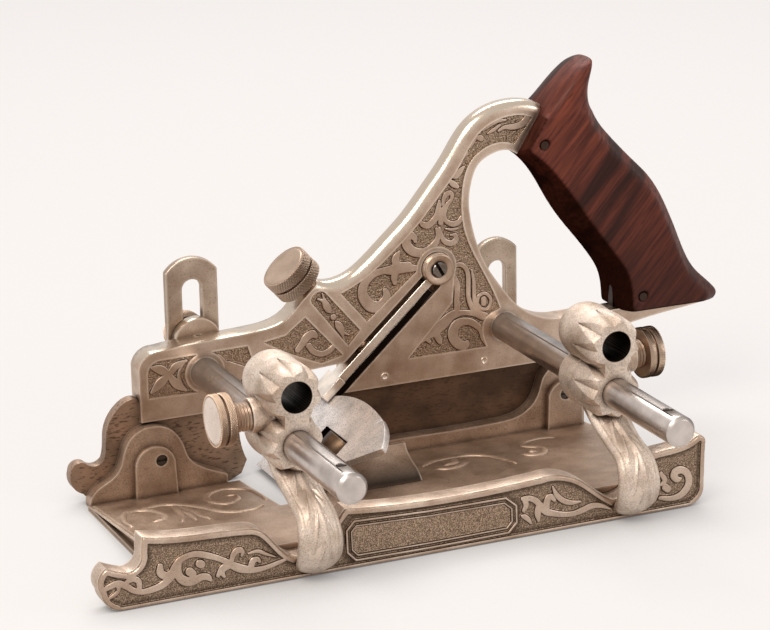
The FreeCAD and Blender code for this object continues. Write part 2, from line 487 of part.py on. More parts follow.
# Main casting: block, top rail, finger opening, tail, throat and sockets
def make_stock():
    stock = new_body("main_stock")
    seat_low = on_slope(cap_axis - size.cap_seat_half, cap_seat_rise)
    seat_high = on_slope(cap_axis + size.cap_seat_half, cap_seat_rise)
    outline = (scaled(BLOCK_SHARES) + [seat_low, seat_high] + scaled(RAIL_SHARES)
               + scaled([GRIP_FOOT_SHARES]) + scaled(FINGER_SHARES) + scaled(TAIL_SHARES)
               + scaled(ARCH_SHARES))
    slab(stock, "casting", outline, "0", FAR_FACE)
    grip_top = place(*GRIP_TOP_SHARES)

    def on_rail(middle, edge):
        flat = abs(middle.y) < size.cutter_gap or abs(middle.y - size.stock_thickness) < size.cutter_gap
        ends = [edge.valueAt(edge.FirstParameter), edge.valueAt(edge.LastParameter)]
        return flat and all(any(math.hypot(end.x - x, end.z - z) < size.cutter_gap for end in ends)
                            for x, z in (seat_high, grip_top))

    ease(stock, "rail_rounding", "Fillet", on_rail, "Radius", "Sizes.rail_round")

    panels = [("block", BLOCK_PANEL_SHARES), ("triangle", TRIANGLE_PANEL_SHARES),
              ("band", BAND_PANEL_SHARES), ("spandrel", SPANDREL_PANEL_SHARES)]
    for name, shares in panels:
        slab(stock, f"{name}_panel", scaled(shares), "-Sizes.overrun", "Sizes.panel_depth",
             cutting=True)
    for name, shares in panels[2:]:
        slab(stock, f"{name}_panel_far", scaled(shares), "Sizes.stock_thickness - Sizes.panel_depth",
             "Sizes.stock_thickness + Sizes.overrun", cutting=True)
    ring = "Sizes.rod_diameter / 2 + Sizes.ring_width"
    disc(stock, "rod_rings", [(x, ROD_Z, ring) for x in ROD_XS], "0", "Sizes.panel_depth")
    disc(stock, "pivot_ring", [pivot_place + ("Sizes.hub_radius + Sizes.ring_width",)], "0",
         "Sizes.stock_thickness")
    guides = [("Sizes.stop_centre", FRONT_SCREW_Z, "Sizes.guide_radius"),
              ("Sizes.rod_spacing + Sizes.rear_stop_offset", REAR_SCREW_Z,
               "Sizes.rear_guide_radius")]
    disc(stock, "stop_guides", guides, "Sizes.stock_thickness - Sizes.panel_depth",
         "Sizes.stock_thickness + Sizes.guide_height")
    pin = place(*UPPER_PIN_SHARES)
    tongue_near = "(Sizes.stock_thickness - Sizes.tongue_thickness) / 2"
    tongue_far = "(Sizes.stock_thickness + Sizes.tongue_thickness) / 2"
    disc(stock, "upper_tongue", [(str(pin[0]), str(pin[1]), "Sizes.tongue_radius")], tongue_near,
         tongue_far)
    slab(stock, "lower_tongue", lower_tongue(0), tongue_near, tongue_far)

    slab(stock, "throat", sloping_strip(size.lever_low - size.throat_width, size.throat_top, 0,
         size.throat_width), "-Sizes.overrun", "Sizes.throat_depth", cutting=True)
    disc(stock, "hub_seat", [pivot_place + ("Sizes.hub_radius + Sizes.side_clearance",)],
         "-Sizes.overrun", "Sizes.throat_depth", cutting=True)
    disc(stock, "pivot_hole", [pivot_place + ("Sizes.pivot_radius",)], "-Sizes.overrun",
         "Sizes.stock_thickness + Sizes.overrun", cutting=True)
    disc(stock, "rod_sockets", [(x, ROD_Z, "Sizes.rod_diameter / 2") for x in ROD_XS],
         "-Sizes.overrun", "Sizes.rod_seat", cutting=True)
    bore = stock.newObject("Sketcher::SketchObject", "cap_screw_hole_sketch")
    draw_circle(bore, "Sizes.stock_thickness / 2", str(cap_axis),
                "Sizes.cap_shank + Sizes.running_clearance")
    x, z = on_slope(0, cap_seat_rise + size.overrun)
    bore.Placement = slope_placement(Vector(x, 0, z))
    hole = stock.newObject("PartDesign::Pocket", "cap_screw_hole")
    hole.Profile = bore
    hole.Reversed = True
    hole.setExpression("Length", f"{cap_seat_rise} - Sizes.throat_width + 2 * Sizes.overrun")
    stock.Tip = hole
    doc.recompute()
    thread = "Sizes.clamp_radius + Sizes.running_clearance"
    disc(stock, "stop_threads", [guide[:2] + (thread,) for guide in guides],
         "Sizes.stock_thickness + Sizes.guide_height - Sizes.clamp_depth",
         "Sizes.stock_thickness + Sizes.guide_height + Sizes.overrun", cutting=True)
    disc(stock, "tote_pin_holes", [pin_place(UPPER_PIN_SHARES), pin_place(LOWER_PIN_SHARES)],
         "-Sizes.overrun", "Sizes.stock_thickness + Sizes.overrun", cutting=True)

    low = place(0, SOLE_HEIGHT_SHARE)[1] - size.overrun
    rear_slot = [(throat_x(low), low), (throat_x(tongue_z), tongue_z),
                 (rear_skate_end(), tongue_z), (rear_skate_end(), low)]
    slab(stock, "rear_skate_slot", rear_slot, SKATE_NEAR, SKATE_FAR, cutting=True)
    front = place(BLOCK_FRONT_SHARE, 0)[0] - size.overrun
    nose_slot = [(front, low), (front, tongue_z), nose_tongue_back(),
                 (nose_tongue_back()[0], low)]
    slab(stock, "nose_slot", nose_slot, SKATE_NEAR, SKATE_FAR, cutting=True)
    disc(stock, "rivet_holes", rivet_places(), "-Sizes.overrun",
         "Sizes.stock_thickness + Sizes.overrun", cutting=True)
    disc(stock, "nose_screw_holes", nose_screw_places("Sizes.nose_screw_radius"), SKATE_FAR,
         "Sizes.stock_thickness + Sizes.overrun", cutting=True)
    disc(stock, "nose_screw_sinks", nose_screw_places("Sizes.nose_screw_head"),
         "Sizes.stock_thickness - Sizes.nose_head_depth", "Sizes.stock_thickness + Sizes.overrun",
         cutting=True)
    return stock


def pin_place(shares):
    """Centre and radius of a handle pin, as expressions."""
    x, z = place(*shares)
    return (str(x), str(z), "Sizes.tote_pin_radius")


def lower_tongue(clearance):
    """The tongue that stands on the tail inside the handle."""
    x, z = place(LOWER_PIN_SHARES[0], TAIL_END_SHARES[1])
    half = size.tongue_width / 2 + clearance
    low = z - size.overrun / 2
    high = z + size.tongue_height + clearance
    return [(x - half, low), (x + half, low), (x + half, high), (x - half, high)]


def throat_x(height):
    """Where the cutter's bed plane is at a height."""
    return size.throat_foot + height / math.tan(math.radians(size.throat_angle))


def rear_skate_end():
    return place(REAR_SKATE_SHARES[2][0], 0)[0]


def nose_tongue_front():
    return (place(NOSE_SHARES[-1][-1][0], 0)[0], tongue_z)


def nose_tongue_back():
    return (place(NOSE_HEEL_SHARES[0][0], 0)[0] - size.overrun, tongue_z)


def rivet_places():
    height = str((tongue_z + place(0, SOLE_HEIGHT_SHARE)[1]) / 2)
    front = str(place(FRONT_RIVET_SHARE, 0)[0])
    rear = "Sizes.rod_spacing - Sizes.guide_radius"
    return [(front, height, "Sizes.rivet_radius"), (rear, height, "Sizes.rivet_radius")]


def nose_screw_places(radius):
    height = str((tongue_z + place(0, BLOCK_FOOT_SHARE)[1]) / 2)
    spread = "Sizes.guide_radius"
    return [(f"-{spread} * 2", height, radius), (f"-{spread} / 2", height, radius)]


# Skates: the rear one carries the cutter, the front one is the bull nose
def make_skates():
    rear = new_body("rear_skate")
    top = place(0, SOLE_HEIGHT_SHARE)[1]
    outline = ([on_slope(0, 0)] + scaled(REAR_SKATE_SHARES)
               + [(rear_skate_end(), tongue_z), (throat_x(tongue_z), tongue_z)])
    slab(rear, "plate", outline, SKATE_NEAR, SKATE_FAR)
    disc(rear, "rivet_holes", rivet_places(), "-Sizes.overrun", f"{SKATE_FAR} + Sizes.overrun",
         cutting=True)
    disc(rear, "bed_screw_hole", [bed_screw_place(REAR_SCREW_SHARE, "Sizes.bed_screw_radius")],
         "-Sizes.overrun", f"{SKATE_FAR} + Sizes.overrun", cutting=True)

    nose = new_body("nose_skate")
    outline = (scaled(NOSE_SHARES) + [nose_tongue_front(), nose_tongue_back()]
               + [(nose_tongue_back()[0], top)] + scaled(NOSE_HEEL_SHARES))
    slab(nose, "plate", outline, SKATE_NEAR, SKATE_FAR)
    disc(nose, "bed_screw_hole", [bed_screw_place(FRONT_SCREW_SHARE, "Sizes.bed_screw_radius")],
         "-Sizes.overrun", f"{SKATE_FAR} + Sizes.overrun", cutting=True)
    disc(nose, "nose_screw_holes", nose_screw_places("Sizes.nose_screw_radius"), "-Sizes.overrun",
         f"{SKATE_FAR} + Sizes.overrun", cutting=True)


def bed_screw_place(share, radius):
    return (str(place(share, 0)[0]), "Sizes.bed_screw_height", radius)


# Filletster bed: a wedge-shaped table with a mouth, a frog, a web and two ears
def make_bed():
    bed = new_body("filletster_bed")
    near = -(size.wall_front - size.wall_thickness - size.bed_gap)
    far = -(size.ear_thickness - size.skate_setback)
    profile = [(far, 0), (near, 0), (near, size.bed_high), (far, size.bed_low)]
    slab(bed, "table", profile, "-Sizes.bed_nose", "Sizes.rod_spacing + Sizes.bed_tail", view="side")
    ear_near = "Sizes.skate_setback - Sizes.ear_thickness"
    for name, ear, pad in (("front", FRONT_EAR_SHARES, FRONT_PAD_SHARES),
                           ("rear", REAR_EAR_SHARES, REAR_PAD_SHARES)):
        slab(bed, f"{name}_ear", scaled(ear), ear_near, SKATE_NEAR)
        slab(bed, f"{name}_pad", scaled(pad), f"{ear_near} - Sizes.pad_proud", ear_near)

    frog_x = throat_x(0)
    flank_y = -mouth_y
    ridge_y = -(size.adjuster_y + size.adjuster_flange + size.running_clearance * 12)
    table_z = size.bed_low + (size.bed_high - size.bed_low) / 2
    frog = [(flank_y, 0), ("curve", (flank_y + size.frog_height / 8, table_z + size.bed_low),
            (ridge_y - size.frog_height / 5, size.frog_height - size.bed_low),
            (ridge_y - size.frog_height / 8, size.frog_height)),
            (ridge_y, size.frog_height), (ridge_y, 0)]
    frog = [(flank_y, 0), (flank_y, table_z)] + frog[1:]
    slab(bed, "frog", frog, str(frog_x), "Sizes.frog_end", view="side")
    mouth_floor = [(size.mouth_front, -size.overrun), on_slope(-size.overrun / math.sin(
        math.radians(size.throat_angle)), 0), on_slope(size.cutter_length / 2, 0),
        (size.mouth_front, on_slope(size.cutter_length / 2, 0)[1])]
    slab(bed, "mouth", mouth_floor, str(-mouth_y), f"{SKATE_NEAR} + Sizes.overrun", cutting=True)
    recess = [(far - size.ear_thickness, size.bed_rim), (near + size.bed_rim, size.bed_rim),
              (near + size.bed_rim, size.bed_high - size.bed_rim / 2),
              (far - size.ear_thickness * 2, size.bed_rim + size.bed_rim / 4)]
    slab(bed, "end_recess", recess, "-Sizes.bed_nose - Sizes.overrun",
         "-Sizes.bed_nose + Sizes.rim_depth", view="side", cutting=True)
    for name, share in (("front", FRONT_SCREW_SHARE), ("rear", REAR_SCREW_SHARE)):
        disc(bed, f"{name}_screw_hole", [bed_screw_place(share, "Sizes.bed_screw_radius")],
             str(-mouth_y), f"{SKATE_NEAR} + Sizes.overrun", cutting=True)
        disc(bed, f"{name}_screw_sink", [bed_screw_place(share, "Sizes.bed_screw_head")],
             str(-mouth_y), f"{ear_near} - Sizes.pad_proud + Sizes.bed_head_depth",
             cutting=True)
    stud_hole = round_along((0, -size.adjuster_y), size.stud_low, size.stud_high,
                            -size.adjuster_drop, size.stud_radius)
    drill = doc.addObject("Part::Feature", "stud_hole_tool")
    drill.Shape = stud_hole
    bored = doc.addObject("Part::Cut", "filletster_bed_bored")
    bored.Base = bed
    bored.Tool = drill
    bed.Label = "filletster_bed_casting"
    bored.Label = "filletster_bed"
    return bored


def round_along(where, low, high, rise, radius):
    """A cylinder along the cutter's slope at a y place, between two distances along it."""
    x, z = on_slope(low, rise)
    slope = math.radians(size.throat_angle)
    return Part.makeCylinder(radius, high - low, Vector(x, where[1], z),
                             Vector(math.cos(slope), 0, math.sin(slope)))


# Cutter, lying on the slope
def make_cutter():
    cutter = new_body("cutter")
    bottom = size.cutter_gap
    top = size.cutter_gap + size.cutter_thickness
    width = size.cutter_width
    shank_near = (size.throat_depth - size.shank_width) / 2
    shank_far = shank_near + size.shank_width
    outline = [(-width, 0), (-width, size.window_low)] + scaled(LOBE_SHARES, on_blade)
    outline += [("curve", on_blade(*LOBE_TOP_SHARES), on_blade(*LOBE_BACK_SHARES),
                 (shank_near, toe_top - size.throat_depth)),
                (shank_near, size.cutter_length - size.shank_width),
                (shank_near + size.screw_slot, size.cutter_length),
                (shank_far - size.screw_slot, size.cutter_length),
                (shank_far, size.cutter_length - size.shank_width),
                (shank_far, on_blade(*LOBE_SHARES[0])[1]),
                (size.cutter_far, on_blade(*LOBE_SHARES[0])[1] - size.cutter_thickness),
                (size.cutter_far, 0)]
    sketch = cutter.newObject("Sketcher::SketchObject", "blade_sketch")
    draw(sketch, outline)
    x, z = on_slope(0, bottom)
    sketch.Placement = slope_placement(Vector(x, 0, z))
    pad = cutter.newObject("PartDesign::Pad", "blade")
    pad.Profile = sketch
    pad.setExpression("Length", "Sizes.cutter_thickness")
    pad.Reversed = True
    doc.recompute()
    window = [(-size.window_near, size.window_low), (-size.window_far, size.window_low),
              (-size.window_far, size.window_high), (-size.window_near, size.window_high)]
    opening = cutter.newObject("Sketcher::SketchObject", "window_sketch")
    draw(opening, window)
    x, z = on_slope(0, top + size.overrun)
    opening.Placement = slope_placement(Vector(x, 0, z))
    pocket = cutter.newObject("PartDesign::Pocket", "window")
    pocket.Profile = opening
    pocket.setExpression("Length", "Sizes.cutter_thickness + 2 * Sizes.overrun")
    before = cutter.Shape.Volume
    doc.recompute()
    if cutter.Shape.Volume > before * (1 - 1e-9):
        pocket.Reversed = True
        doc.recompute()
    return cutter


def slope_placement(origin):
    """A sketch plane on the cutter's slope: its first axis is y, its second runs up the slope."""
    slope = math.radians(size.throat_angle)
    up = Vector(math.cos(slope), 0, math.sin(slope))
    across = Vector(0, 1, 0)
    return Placement(origin, Rotation(across, up, across.cross(up), "ZXY"))


# Lever cap: hub, bar in the throat and toe on the cutter
def make_lever():
    lever = new_body("lever_cap")
    bottom = size.cutter_gap + size.cutter_thickness + size.side_clearance
    top = bottom + size.lever_thickness
    disc(lever, "hub", [pivot_place + ("Sizes.hub_radius",)], "-Sizes.hub_proud",
         "Sizes.throat_depth - Sizes.side_clearance")
    slab(lever, "bar", sloping_strip(size.lever_low, size.pivot_along, bottom, top),
         "Sizes.side_clearance", "Sizes.throat_depth - Sizes.side_clearance")
    slab(lever, "toe", sloping_strip(size.toe_low, toe_top, bottom, top),
         "-Sizes.side_clearance * 4", "Sizes.toe_far")
    disc(lever, "pivot_bore", [pivot_place + ("Sizes.pivot_radius + Sizes.running_clearance",)],
         "-Sizes.hub_proud - Sizes.overrun", "Sizes.throat_depth + Sizes.overrun", cutting=True)
    return lever


# Round pieces
def part_box(name, corner, lengths):
    box = doc.addObject("Part::Box", name)
    box.Placement = Placement(Vector(*corner), Rotation())
    box.Length, box.Width, box.Height = lengths
    return box


def cylinder(name, radius, length, start, axis):
    """A Part cylinder from a point along a direction; radius and length are expressions."""
    item = doc.addObject("Part::Cylinder", name)
    item.setExpression("Radius", radius)
    item.setExpression("Height", length)
    item.Placement = Placement(Vector(*start), Rotation(Vector(0, 0, 1), Vector(*axis)))
    return item


def fuse(name, items):
    joined = doc.addObject("Part::MultiFuse", name)
    joined.Shapes = items
    return joined


def cut(name, base, tool):
    result = doc.addObject("Part::Cut", name)
    result.Base = base
    result.Tool = tool
    return result


def turned(label, steps, start, axis):
    """A turned piece: each step is (radius, length) from the start along the axis."""
    body = new_body(label)
    sketch = body.newObject("Sketcher::SketchObject", f"{label}_profile")
    points = [(0, 0)]
    along = 0
    for radius, length in steps:
        points.append((radius, along))
        along += length
        points.append((radius, along))
    points.append((0, along))
    draw(sketch, points)
    sketch.Placement = Placement(Vector(*start), Rotation(Vector(0, 1, 0), Vector(*axis)))
    turn = body.newObject("PartDesign::Revolution", f"{label}_turning")
    turn.Profile = sketch
    turn.ReferenceAxis = (sketch, ["V_Axis"])
    doc.recompute()
    return body


def make_rods():
    for label, x in (("front_rod", 0.0), ("rear_rod", size.rod_spacing)):
        rod = cylinder(f"{label}_bar", "Sizes.rod_diameter / 2", "Sizes.rod_reach + Sizes.rod_seat",
                       (x, -size.rod_reach, size.rod_height), (0, 1, 0))
        hole = cylinder(f"{label}_tommy", "Sizes.tommy_hole", "2 * Sizes.rod_diameter",
                        (x, size.tommy_inset - size.rod_reach, size.rod_height - size.rod_diameter),
                        (0, 0, 1))
        drilled = cut(f"{label}_drilled", rod, hole)
        doc.recompute()
        chamfer = doc.addObject("Part::Chamfer", label)
        chamfer.Base = drilled
        free_end = [number for number, edge in enumerate(drilled.Shape.Edges, start=1)
                    if edge.Closed and edge.BoundBox.YMax < -size.rod_reach + size.cutter_gap]
        chamfer.Edges = [(number, size.rod_chamfer, size.rod_chamfer) for number in free_end]
        chamfer.Label = label


def slotted(label, body, start, axis, slot_across, radius):
    """The same turned piece with a screwdriver slot in its head."""
    ahead = Vector(*axis)
    side = Vector(*slot_across)
    third = ahead.cross(side)
    half = radius + size.overrun
    corner = Vector(*start) - side * half - third * (size.screw_slot / 2)
    box = doc.addObject("Part::Box", f"{label}_slot")
    box.setExpression("Width", "Sizes.screw_slot")
    box.Length = 2 * half
    box.setExpression("Height", "Sizes.slot_depth + Sizes.overrun")
    frame = Rotation(side, third, ahead, "ZXY")
    box.Placement = Placement(corner - ahead * size.overrun, frame)
    if (frame.multVec(Vector(0, 1, 0)) - third).Length > 1:
        box.Placement = Placement(corner - ahead * size.overrun + third * size.screw_slot, frame)
    result = cut(f"{label}_slotted", body, box)
    body.Label = f"{label}_blank"
    result.Label = label
    return result


def make_screws():
    pivot = turned("lever_screw", [(size.pivot_radius, size.hub_proud + size.slot_depth / 4
                   + size.stock_thickness)], (pivot_x, -size.hub_proud - size.slot_depth / 4,
                   pivot_z), (0, 1, 0))
    slotted("lever_screw", pivot, (pivot_x, -size.hub_proud - size.slot_depth / 4, pivot_z),
            (0, 1, 0), (0.743, 0, 0.669), size.pivot_radius)

    slope = math.radians(size.throat_angle)
    down = (math.sin(slope), 0, -math.cos(slope))
    head_top = on_slope(cap_axis, cap_seat_rise + size.cap_head_gap + size.cap_head_thickness)
    face = size.cutter_gap + size.cutter_thickness + size.side_clearance + size.lever_thickness
    shank = cap_seat_rise + size.cap_head_gap - face - size.cap_tip_gap
    band = (size.cap_head_thickness - size.head_groove) / 2
    turned("cap_screw", [(size.cap_head, band), (size.cap_head - size.head_groove, size.head_groove),
           (size.cap_head, band), (size.cap_shank, shank)], (head_top[0], middle_y, head_top[1]), down)

    z = size.rod_height + size.bore_pitch / 2
    band = (size.fence_head_thickness - size.head_groove) / 2
    for label, rod_x, side, standoff in (
            ("front_fence_screw", 0, -1, size.front_head_standoff),
            ("rear_fence_screw", size.rod_spacing, 1, size.rear_head_standoff)):
        tip = size.screw_tip
        reach = standoff + size.fence_head_thickness
        turned(label, [(size.fence_screw_head, band),
               (size.fence_screw_head - size.head_groove, size.head_groove),
               (size.fence_screw_head, band), (size.fence_screw_radius, standoff - tip)],
               (rod_x + side * reach, -size.fence_screw_y, z), (-side, 0, 0))

    far = size.stock_thickness + size.guide_height
    band = (size.clamp_head_thickness - size.head_groove) / 2
    for label, x, z in (("front_stop_screw", size.stop_centre, measure(FRONT_SCREW_Z)),
                        ("rear_stop_screw", size.rod_spacing + size.rear_stop_offset,
                         measure(REAR_SCREW_Z))):
        under = far + size.side_clearance + size.stop_thickness + size.side_clearance
        under += size.washer_thickness
        top = under + size.clamp_head_thickness
        turned(label, [(size.clamp_head, band), (size.clamp_head - size.head_groove,
               size.head_groove), (size.clamp_head, band),
               (size.clamp_radius, under - far + size.clamp_depth - size.running_clearance)],
               (x, top, z), (0, -1, 0))
        ring = new_body(label.replace("screw", "washer"))
        centre = (str(x), str(z))
        disc(ring, "ring", [centre + ("Sizes.washer_radius",)], str(under - size.washer_thickness),
             str(under))
        disc(ring, "hole", [centre + ("Sizes.clamp_radius + Sizes.side_clearance",)], str(far),
             str(top), cutting=True)


def make_groups():
    """Fasteners that come in pairs share a node."""
    group("tote_pins", [plug(f"tote_pin_{side}", place(*shares), "Sizes.tote_pin_radius",
          middle_y - size.tote_thickness / 2, "Sizes.tote_thickness")
          for side, shares in (("upper", UPPER_PIN_SHARES), ("lower", LOWER_PIN_SHARES))])
    group("skate_rivets", [plug(f"skate_rivet_{number}", (measure(x), measure(z)), radius, 0.0,
          "Sizes.stock_thickness") for number, (x, z, radius) in enumerate(rivet_places(), start=1)])
    heads = []
    for number, (x, z, radius) in enumerate(nose_screw_places("Sizes.nose_screw_radius"), start=1):
        centre = (measure(x), measure(z))
        shank = plug(f"nose_shank_{number}", centre, radius, size.skate_setback,
                     "Sizes.stock_thickness - Sizes.skate_setback - Sizes.nose_head_depth / 2")
        head = plug(f"nose_head_{number}", centre, "Sizes.nose_screw_head",
                    size.stock_thickness - size.nose_head_depth, "Sizes.nose_head_depth")
        heads.append(grooved(f"nose_screw_{number}", fuse(f"nose_blank_{number}", [shank, head]),
                             (centre[0], size.stock_thickness, centre[1]), -1))
    group("nose_screws", heads)
    screws = []
    near = size.skate_setback - size.ear_thickness - size.pad_proud
    for number, share in enumerate((FRONT_SCREW_SHARE, REAR_SCREW_SHARE), start=1):
        centre = (place(share, 0)[0], size.bed_screw_height)
        shank = plug(f"bed_shank_{number}", centre, "Sizes.bed_screw_radius", near + size.slot_depth,
                     "Sizes.skate_setback + Sizes.skate_thickness - Sizes.slot_depth"
                     " - Sizes.skate_setback + Sizes.ear_thickness + Sizes.pad_proud")
        head = plug(f"bed_head_{number}", centre, "Sizes.bed_screw_head", near + size.slot_depth / 2,
                    "Sizes.bed_head_depth - Sizes.slot_depth / 2")
        screws.append(grooved(f"bed_screw_{number}", fuse(f"bed_blank_{number}", [shank, head]),
                              (centre[0], near + size.slot_depth / 2, centre[1]), 1))
    group("bed_screws", screws)


def plug(name, centre, radius, near, length):
    return cylinder(name, radius, length, (centre[0], near, centre[1]), (0, 1, 0))


def grooved(name, blank, face, inward):
    """A screwdriver slot across a head whose face is square to y."""
    half = size.nose_screw_head + size.overrun
    low = face[1] - size.overrun if inward > 0 else face[1] - size.slot_depth / 2
    box = part_box(f"{name}_slot", (face[0] - half, low, face[2] - size.screw_slot / 2),
                   (2 * half, size.overrun + size.slot_depth / 2, size.screw_slot))
    return cut(name, blank, box)


def group(label, items):
    together = doc.addObject("Part::Compound", label)
    together.Links = items
    together.Label = label
    return together


# Depth stops behind the stock
def make_stops():
    near = size.stock_thickness + size.guide_height + size.side_clearance
    far = near + size.stop_thickness
    stops = (("front_stop", size.stop_centre, size.stop_width, size.stop_top, size.stop_slot,
              size.stop_slot_low, size.stop_slot_high),
             ("rear_stop", size.rod_spacing + size.rear_stop_offset, size.rear_stop_width,
              size.rear_stop_top, size.rear_stop_slot, size.rear_slot_low, size.rear_slot_high))
    for label, x, width, top, slot, low, high in stops:
        stop = new_body(label)
        half = width / 2
        shoulder = top - half / 2
        bar = [(x - half, size.stop_bottom), (x - half, shoulder), ("arc", (x, top),
               (x + half, shoulder)), (x + half, size.stop_bottom)]
        slab(stop, "bar", bar, str(near), str(far))
        slab(stop, "foot", [(x - half, size.stop_bottom), (x - half, size.stop_bottom
             + size.stop_thickness), (x + half, size.stop_bottom + size.stop_thickness),
             (x + half, size.stop_bottom)], str(near), f"{far} + Sizes.stop_foot")
        hole = [(x - slot, low + slot), (x - slot, high - slot), ("arc", (x, high),
                (x + slot, high - slot)), (x + slot, low + slot), ("arc", (x, low),
                (x - slot, low + slot))]
        slab(stop, "slot", hole, f"{near} - Sizes.overrun", f"{far} + Sizes.overrun", cutting=True)


# Fence: wall, two S-shaped arms and two twin bosses
def make_fence():
    wall = new_body("fence_wall")
    slab(wall, "wall", scaled(FENCE_SHARES), "-Sizes.wall_front",
         "-Sizes.wall_front + Sizes.wall_thickness")
    for name, shares in (("left", LEFT_PANEL_SHARES), ("middle", MIDDLE_PANEL_SHARES),
                         ("end", END_PANEL_SHARES)):
        slab(wall, f"{name}_panel", scaled(shares), "-Sizes.wall_front - Sizes.overrun",
             "-Sizes.wall_front + Sizes.panel_depth", cutting=True)
    pieces = [wall]
    back = -(size.boss_front - size.boss_length)
    for side, rod_x in (("front", 0.0), ("rear", size.rod_spacing)):
        for level, z in (("lower", size.rod_height), ("upper", size.rod_height + size.bore_pitch)):
            pieces.append(bud(f"{side}_{level}_bud", rod_x, z))
        pieces.append(part_box(f"{side}_boss_web", (rod_x - size.boss_web / 2, -size.boss_front,
                      size.rod_height), (size.boss_web, size.boss_length - size.ring_width,
                      size.bore_pitch)))
        pieces.append(arm(f"{side}_arm", rod_x))
        way = -1 if side == "front" else 1
        pieces.append(cylinder(f"{side}_screw_boss", "Sizes.screw_boss_radius",
                      "Sizes.screw_boss_reach", (rod_x, -size.fence_screw_y,
                      size.rod_height + size.bore_pitch / 2), (way, 0, 0)))
    holes = []
    for side, rod_x in (("front", 0.0), ("rear", size.rod_spacing)):
        for level, z in (("lower", size.rod_height), ("upper", size.rod_height + size.bore_pitch)):
            holes.append(cylinder(f"{side}_{level}_bore", "Sizes.rod_diameter / 2 "
                         "+ Sizes.running_clearance", "Sizes.boss_length + 2 * Sizes.overrun",
                         (rod_x, -size.boss_front - size.overrun, z), (0, 1, 0)))
        way = -1 if side == "front" else 1
        inner = size.screw_tip - size.side_clearance
        holes.append(cylinder(f"{side}_screw_hole", "Sizes.fence_screw_radius "
                     "+ Sizes.running_clearance", "Sizes.screw_boss_reach",
                     (rod_x + way * inner, -size.fence_screw_y,
                      size.rod_height + size.bore_pitch / 2), (way, 0, 0)))
    solid = fuse("fence_casting", pieces)
    tools = fuse("fence_holes", holes)
    fence = cut("fence_bored", solid, tools)
    fence.Label = "fence"
    return fence


def bud(name, x, z):
    """A bud-shaped boss turned about its bore's axis."""
    front = -size.boss_front
    back = front + size.boss_length
    points = [Vector(x + size.boss_face, front, z)]
    for along_share, radius_share in BUD_SHARES:
        radius = size.boss_face + (size.boss_belly - size.boss_face) * radius_share
        points.append(Vector(x + radius, front + size.boss_length * along_share, z))
    points.append(Vector(x + size.boss_tail, back, z))
    curve = Part.BSplineCurve()
    curve.interpolate(points)
    axis_front = Vector(x, front, z)
    axis_back = Vector(x, back, z)
    edges = [curve.toShape(), Part.makeLine(points[-1], axis_back),
             Part.makeLine(axis_back, axis_front), Part.makeLine(axis_front, points[0])]
    face = Part.Face(Part.Wire(edges))
    item = doc.addObject("Part::Feature", name)
    item.Shape = face.revolve(axis_front, Vector(0, 1, 0), 360)
    return item


def arm(name, x):
    """An S-shaped arm: a loft through rounded sections that follow the curl of the real one."""
    root = size.wall_front - size.fence_screw_y
    path = [(-size.fence_screw_y - root * out, size.rod_height * (1 + rise), spread)
            for out, rise, spread in ARM_SHARES]
    wires = []
    for number, (y, z, spread) in enumerate(path):
        before = path[max(number - 1, 0)]
        after = path[min(number + 1, len(path) - 1)]
        heading = Vector(0, after[0] - before[0], after[1] - before[1]).normalize()
        across = Vector(1, 0, 0)
        oval = Part.Ellipse()
        oval.MajorRadius = size.arm_width / 2 * spread
        oval.MinorRadius = size.arm_thickness / 2
        ring = Part.Wire(oval.toShape())
        ring.Placement = Placement(Vector(x + size.arm_offset, y, z),
                                   Rotation(across, heading.cross(across), heading, "ZXY"))
        wires.append(ring)
    item = doc.addObject("Part::Feature", name)
    item.Shape = Part.makeLoft(wires, True, False)
    return item


# Handle: flat faces, with the bevels lofted between the faces and the full outline
def make_tote():
    near = middle_y - size.tote_thickness / 2
    far = middle_y + size.tote_thickness / 2
    sections = [upright("grip_near_face", GRIP_FACE_SHARES, near),
                upright("grip_near", GRIP_SHARES, near + size.tote_bevel),
                upright("grip_far", GRIP_SHARES, far - size.tote_bevel),
                upright("grip_far_face", GRIP_FACE_SHARES, far)]
    grip = doc.addObject("Part::Loft", "grip")
    grip.Sections = sections
    grip.Solid = True
    grip.Ruled = True
    slot_near = middle_y - size.tongue_thickness / 2
    corners = lower_tongue(size.side_clearance)
    slot = part_box("lower_slot", (corners[0][0], slot_near, corners[0][1]),
                    (corners[1][0] - corners[0][0], size.tongue_thickness,
                     corners[2][1] - corners[0][1]))
    tools = [slot, plug("upper_slot", place(*UPPER_PIN_SHARES),
             "Sizes.tongue_radius + Sizes.side_clearance", slot_near, "Sizes.tongue_thickness")]
    for side, shares in (("upper", UPPER_PIN_SHARES), ("lower", LOWER_PIN_SHARES)):
        tools.append(plug(f"{side}_pin_hole", place(*shares), "Sizes.tote_pin_radius",
                          near - size.overrun, "Sizes.tote_thickness + 2 * Sizes.overrun"))
    cut("tote_bored", grip, fuse("tote_holes", tools)).Label = "tote"


def upright(name, shares, y):
    """A free outline drawn square to y."""
    sketch = doc.addObject("Sketcher::SketchObject", name)
    draw(sketch, scaled(shares))
    sketch.Placement = Placement(Vector(0, y, 0), Rotation(Vector(1, 0, 0), 90))
    return sketch


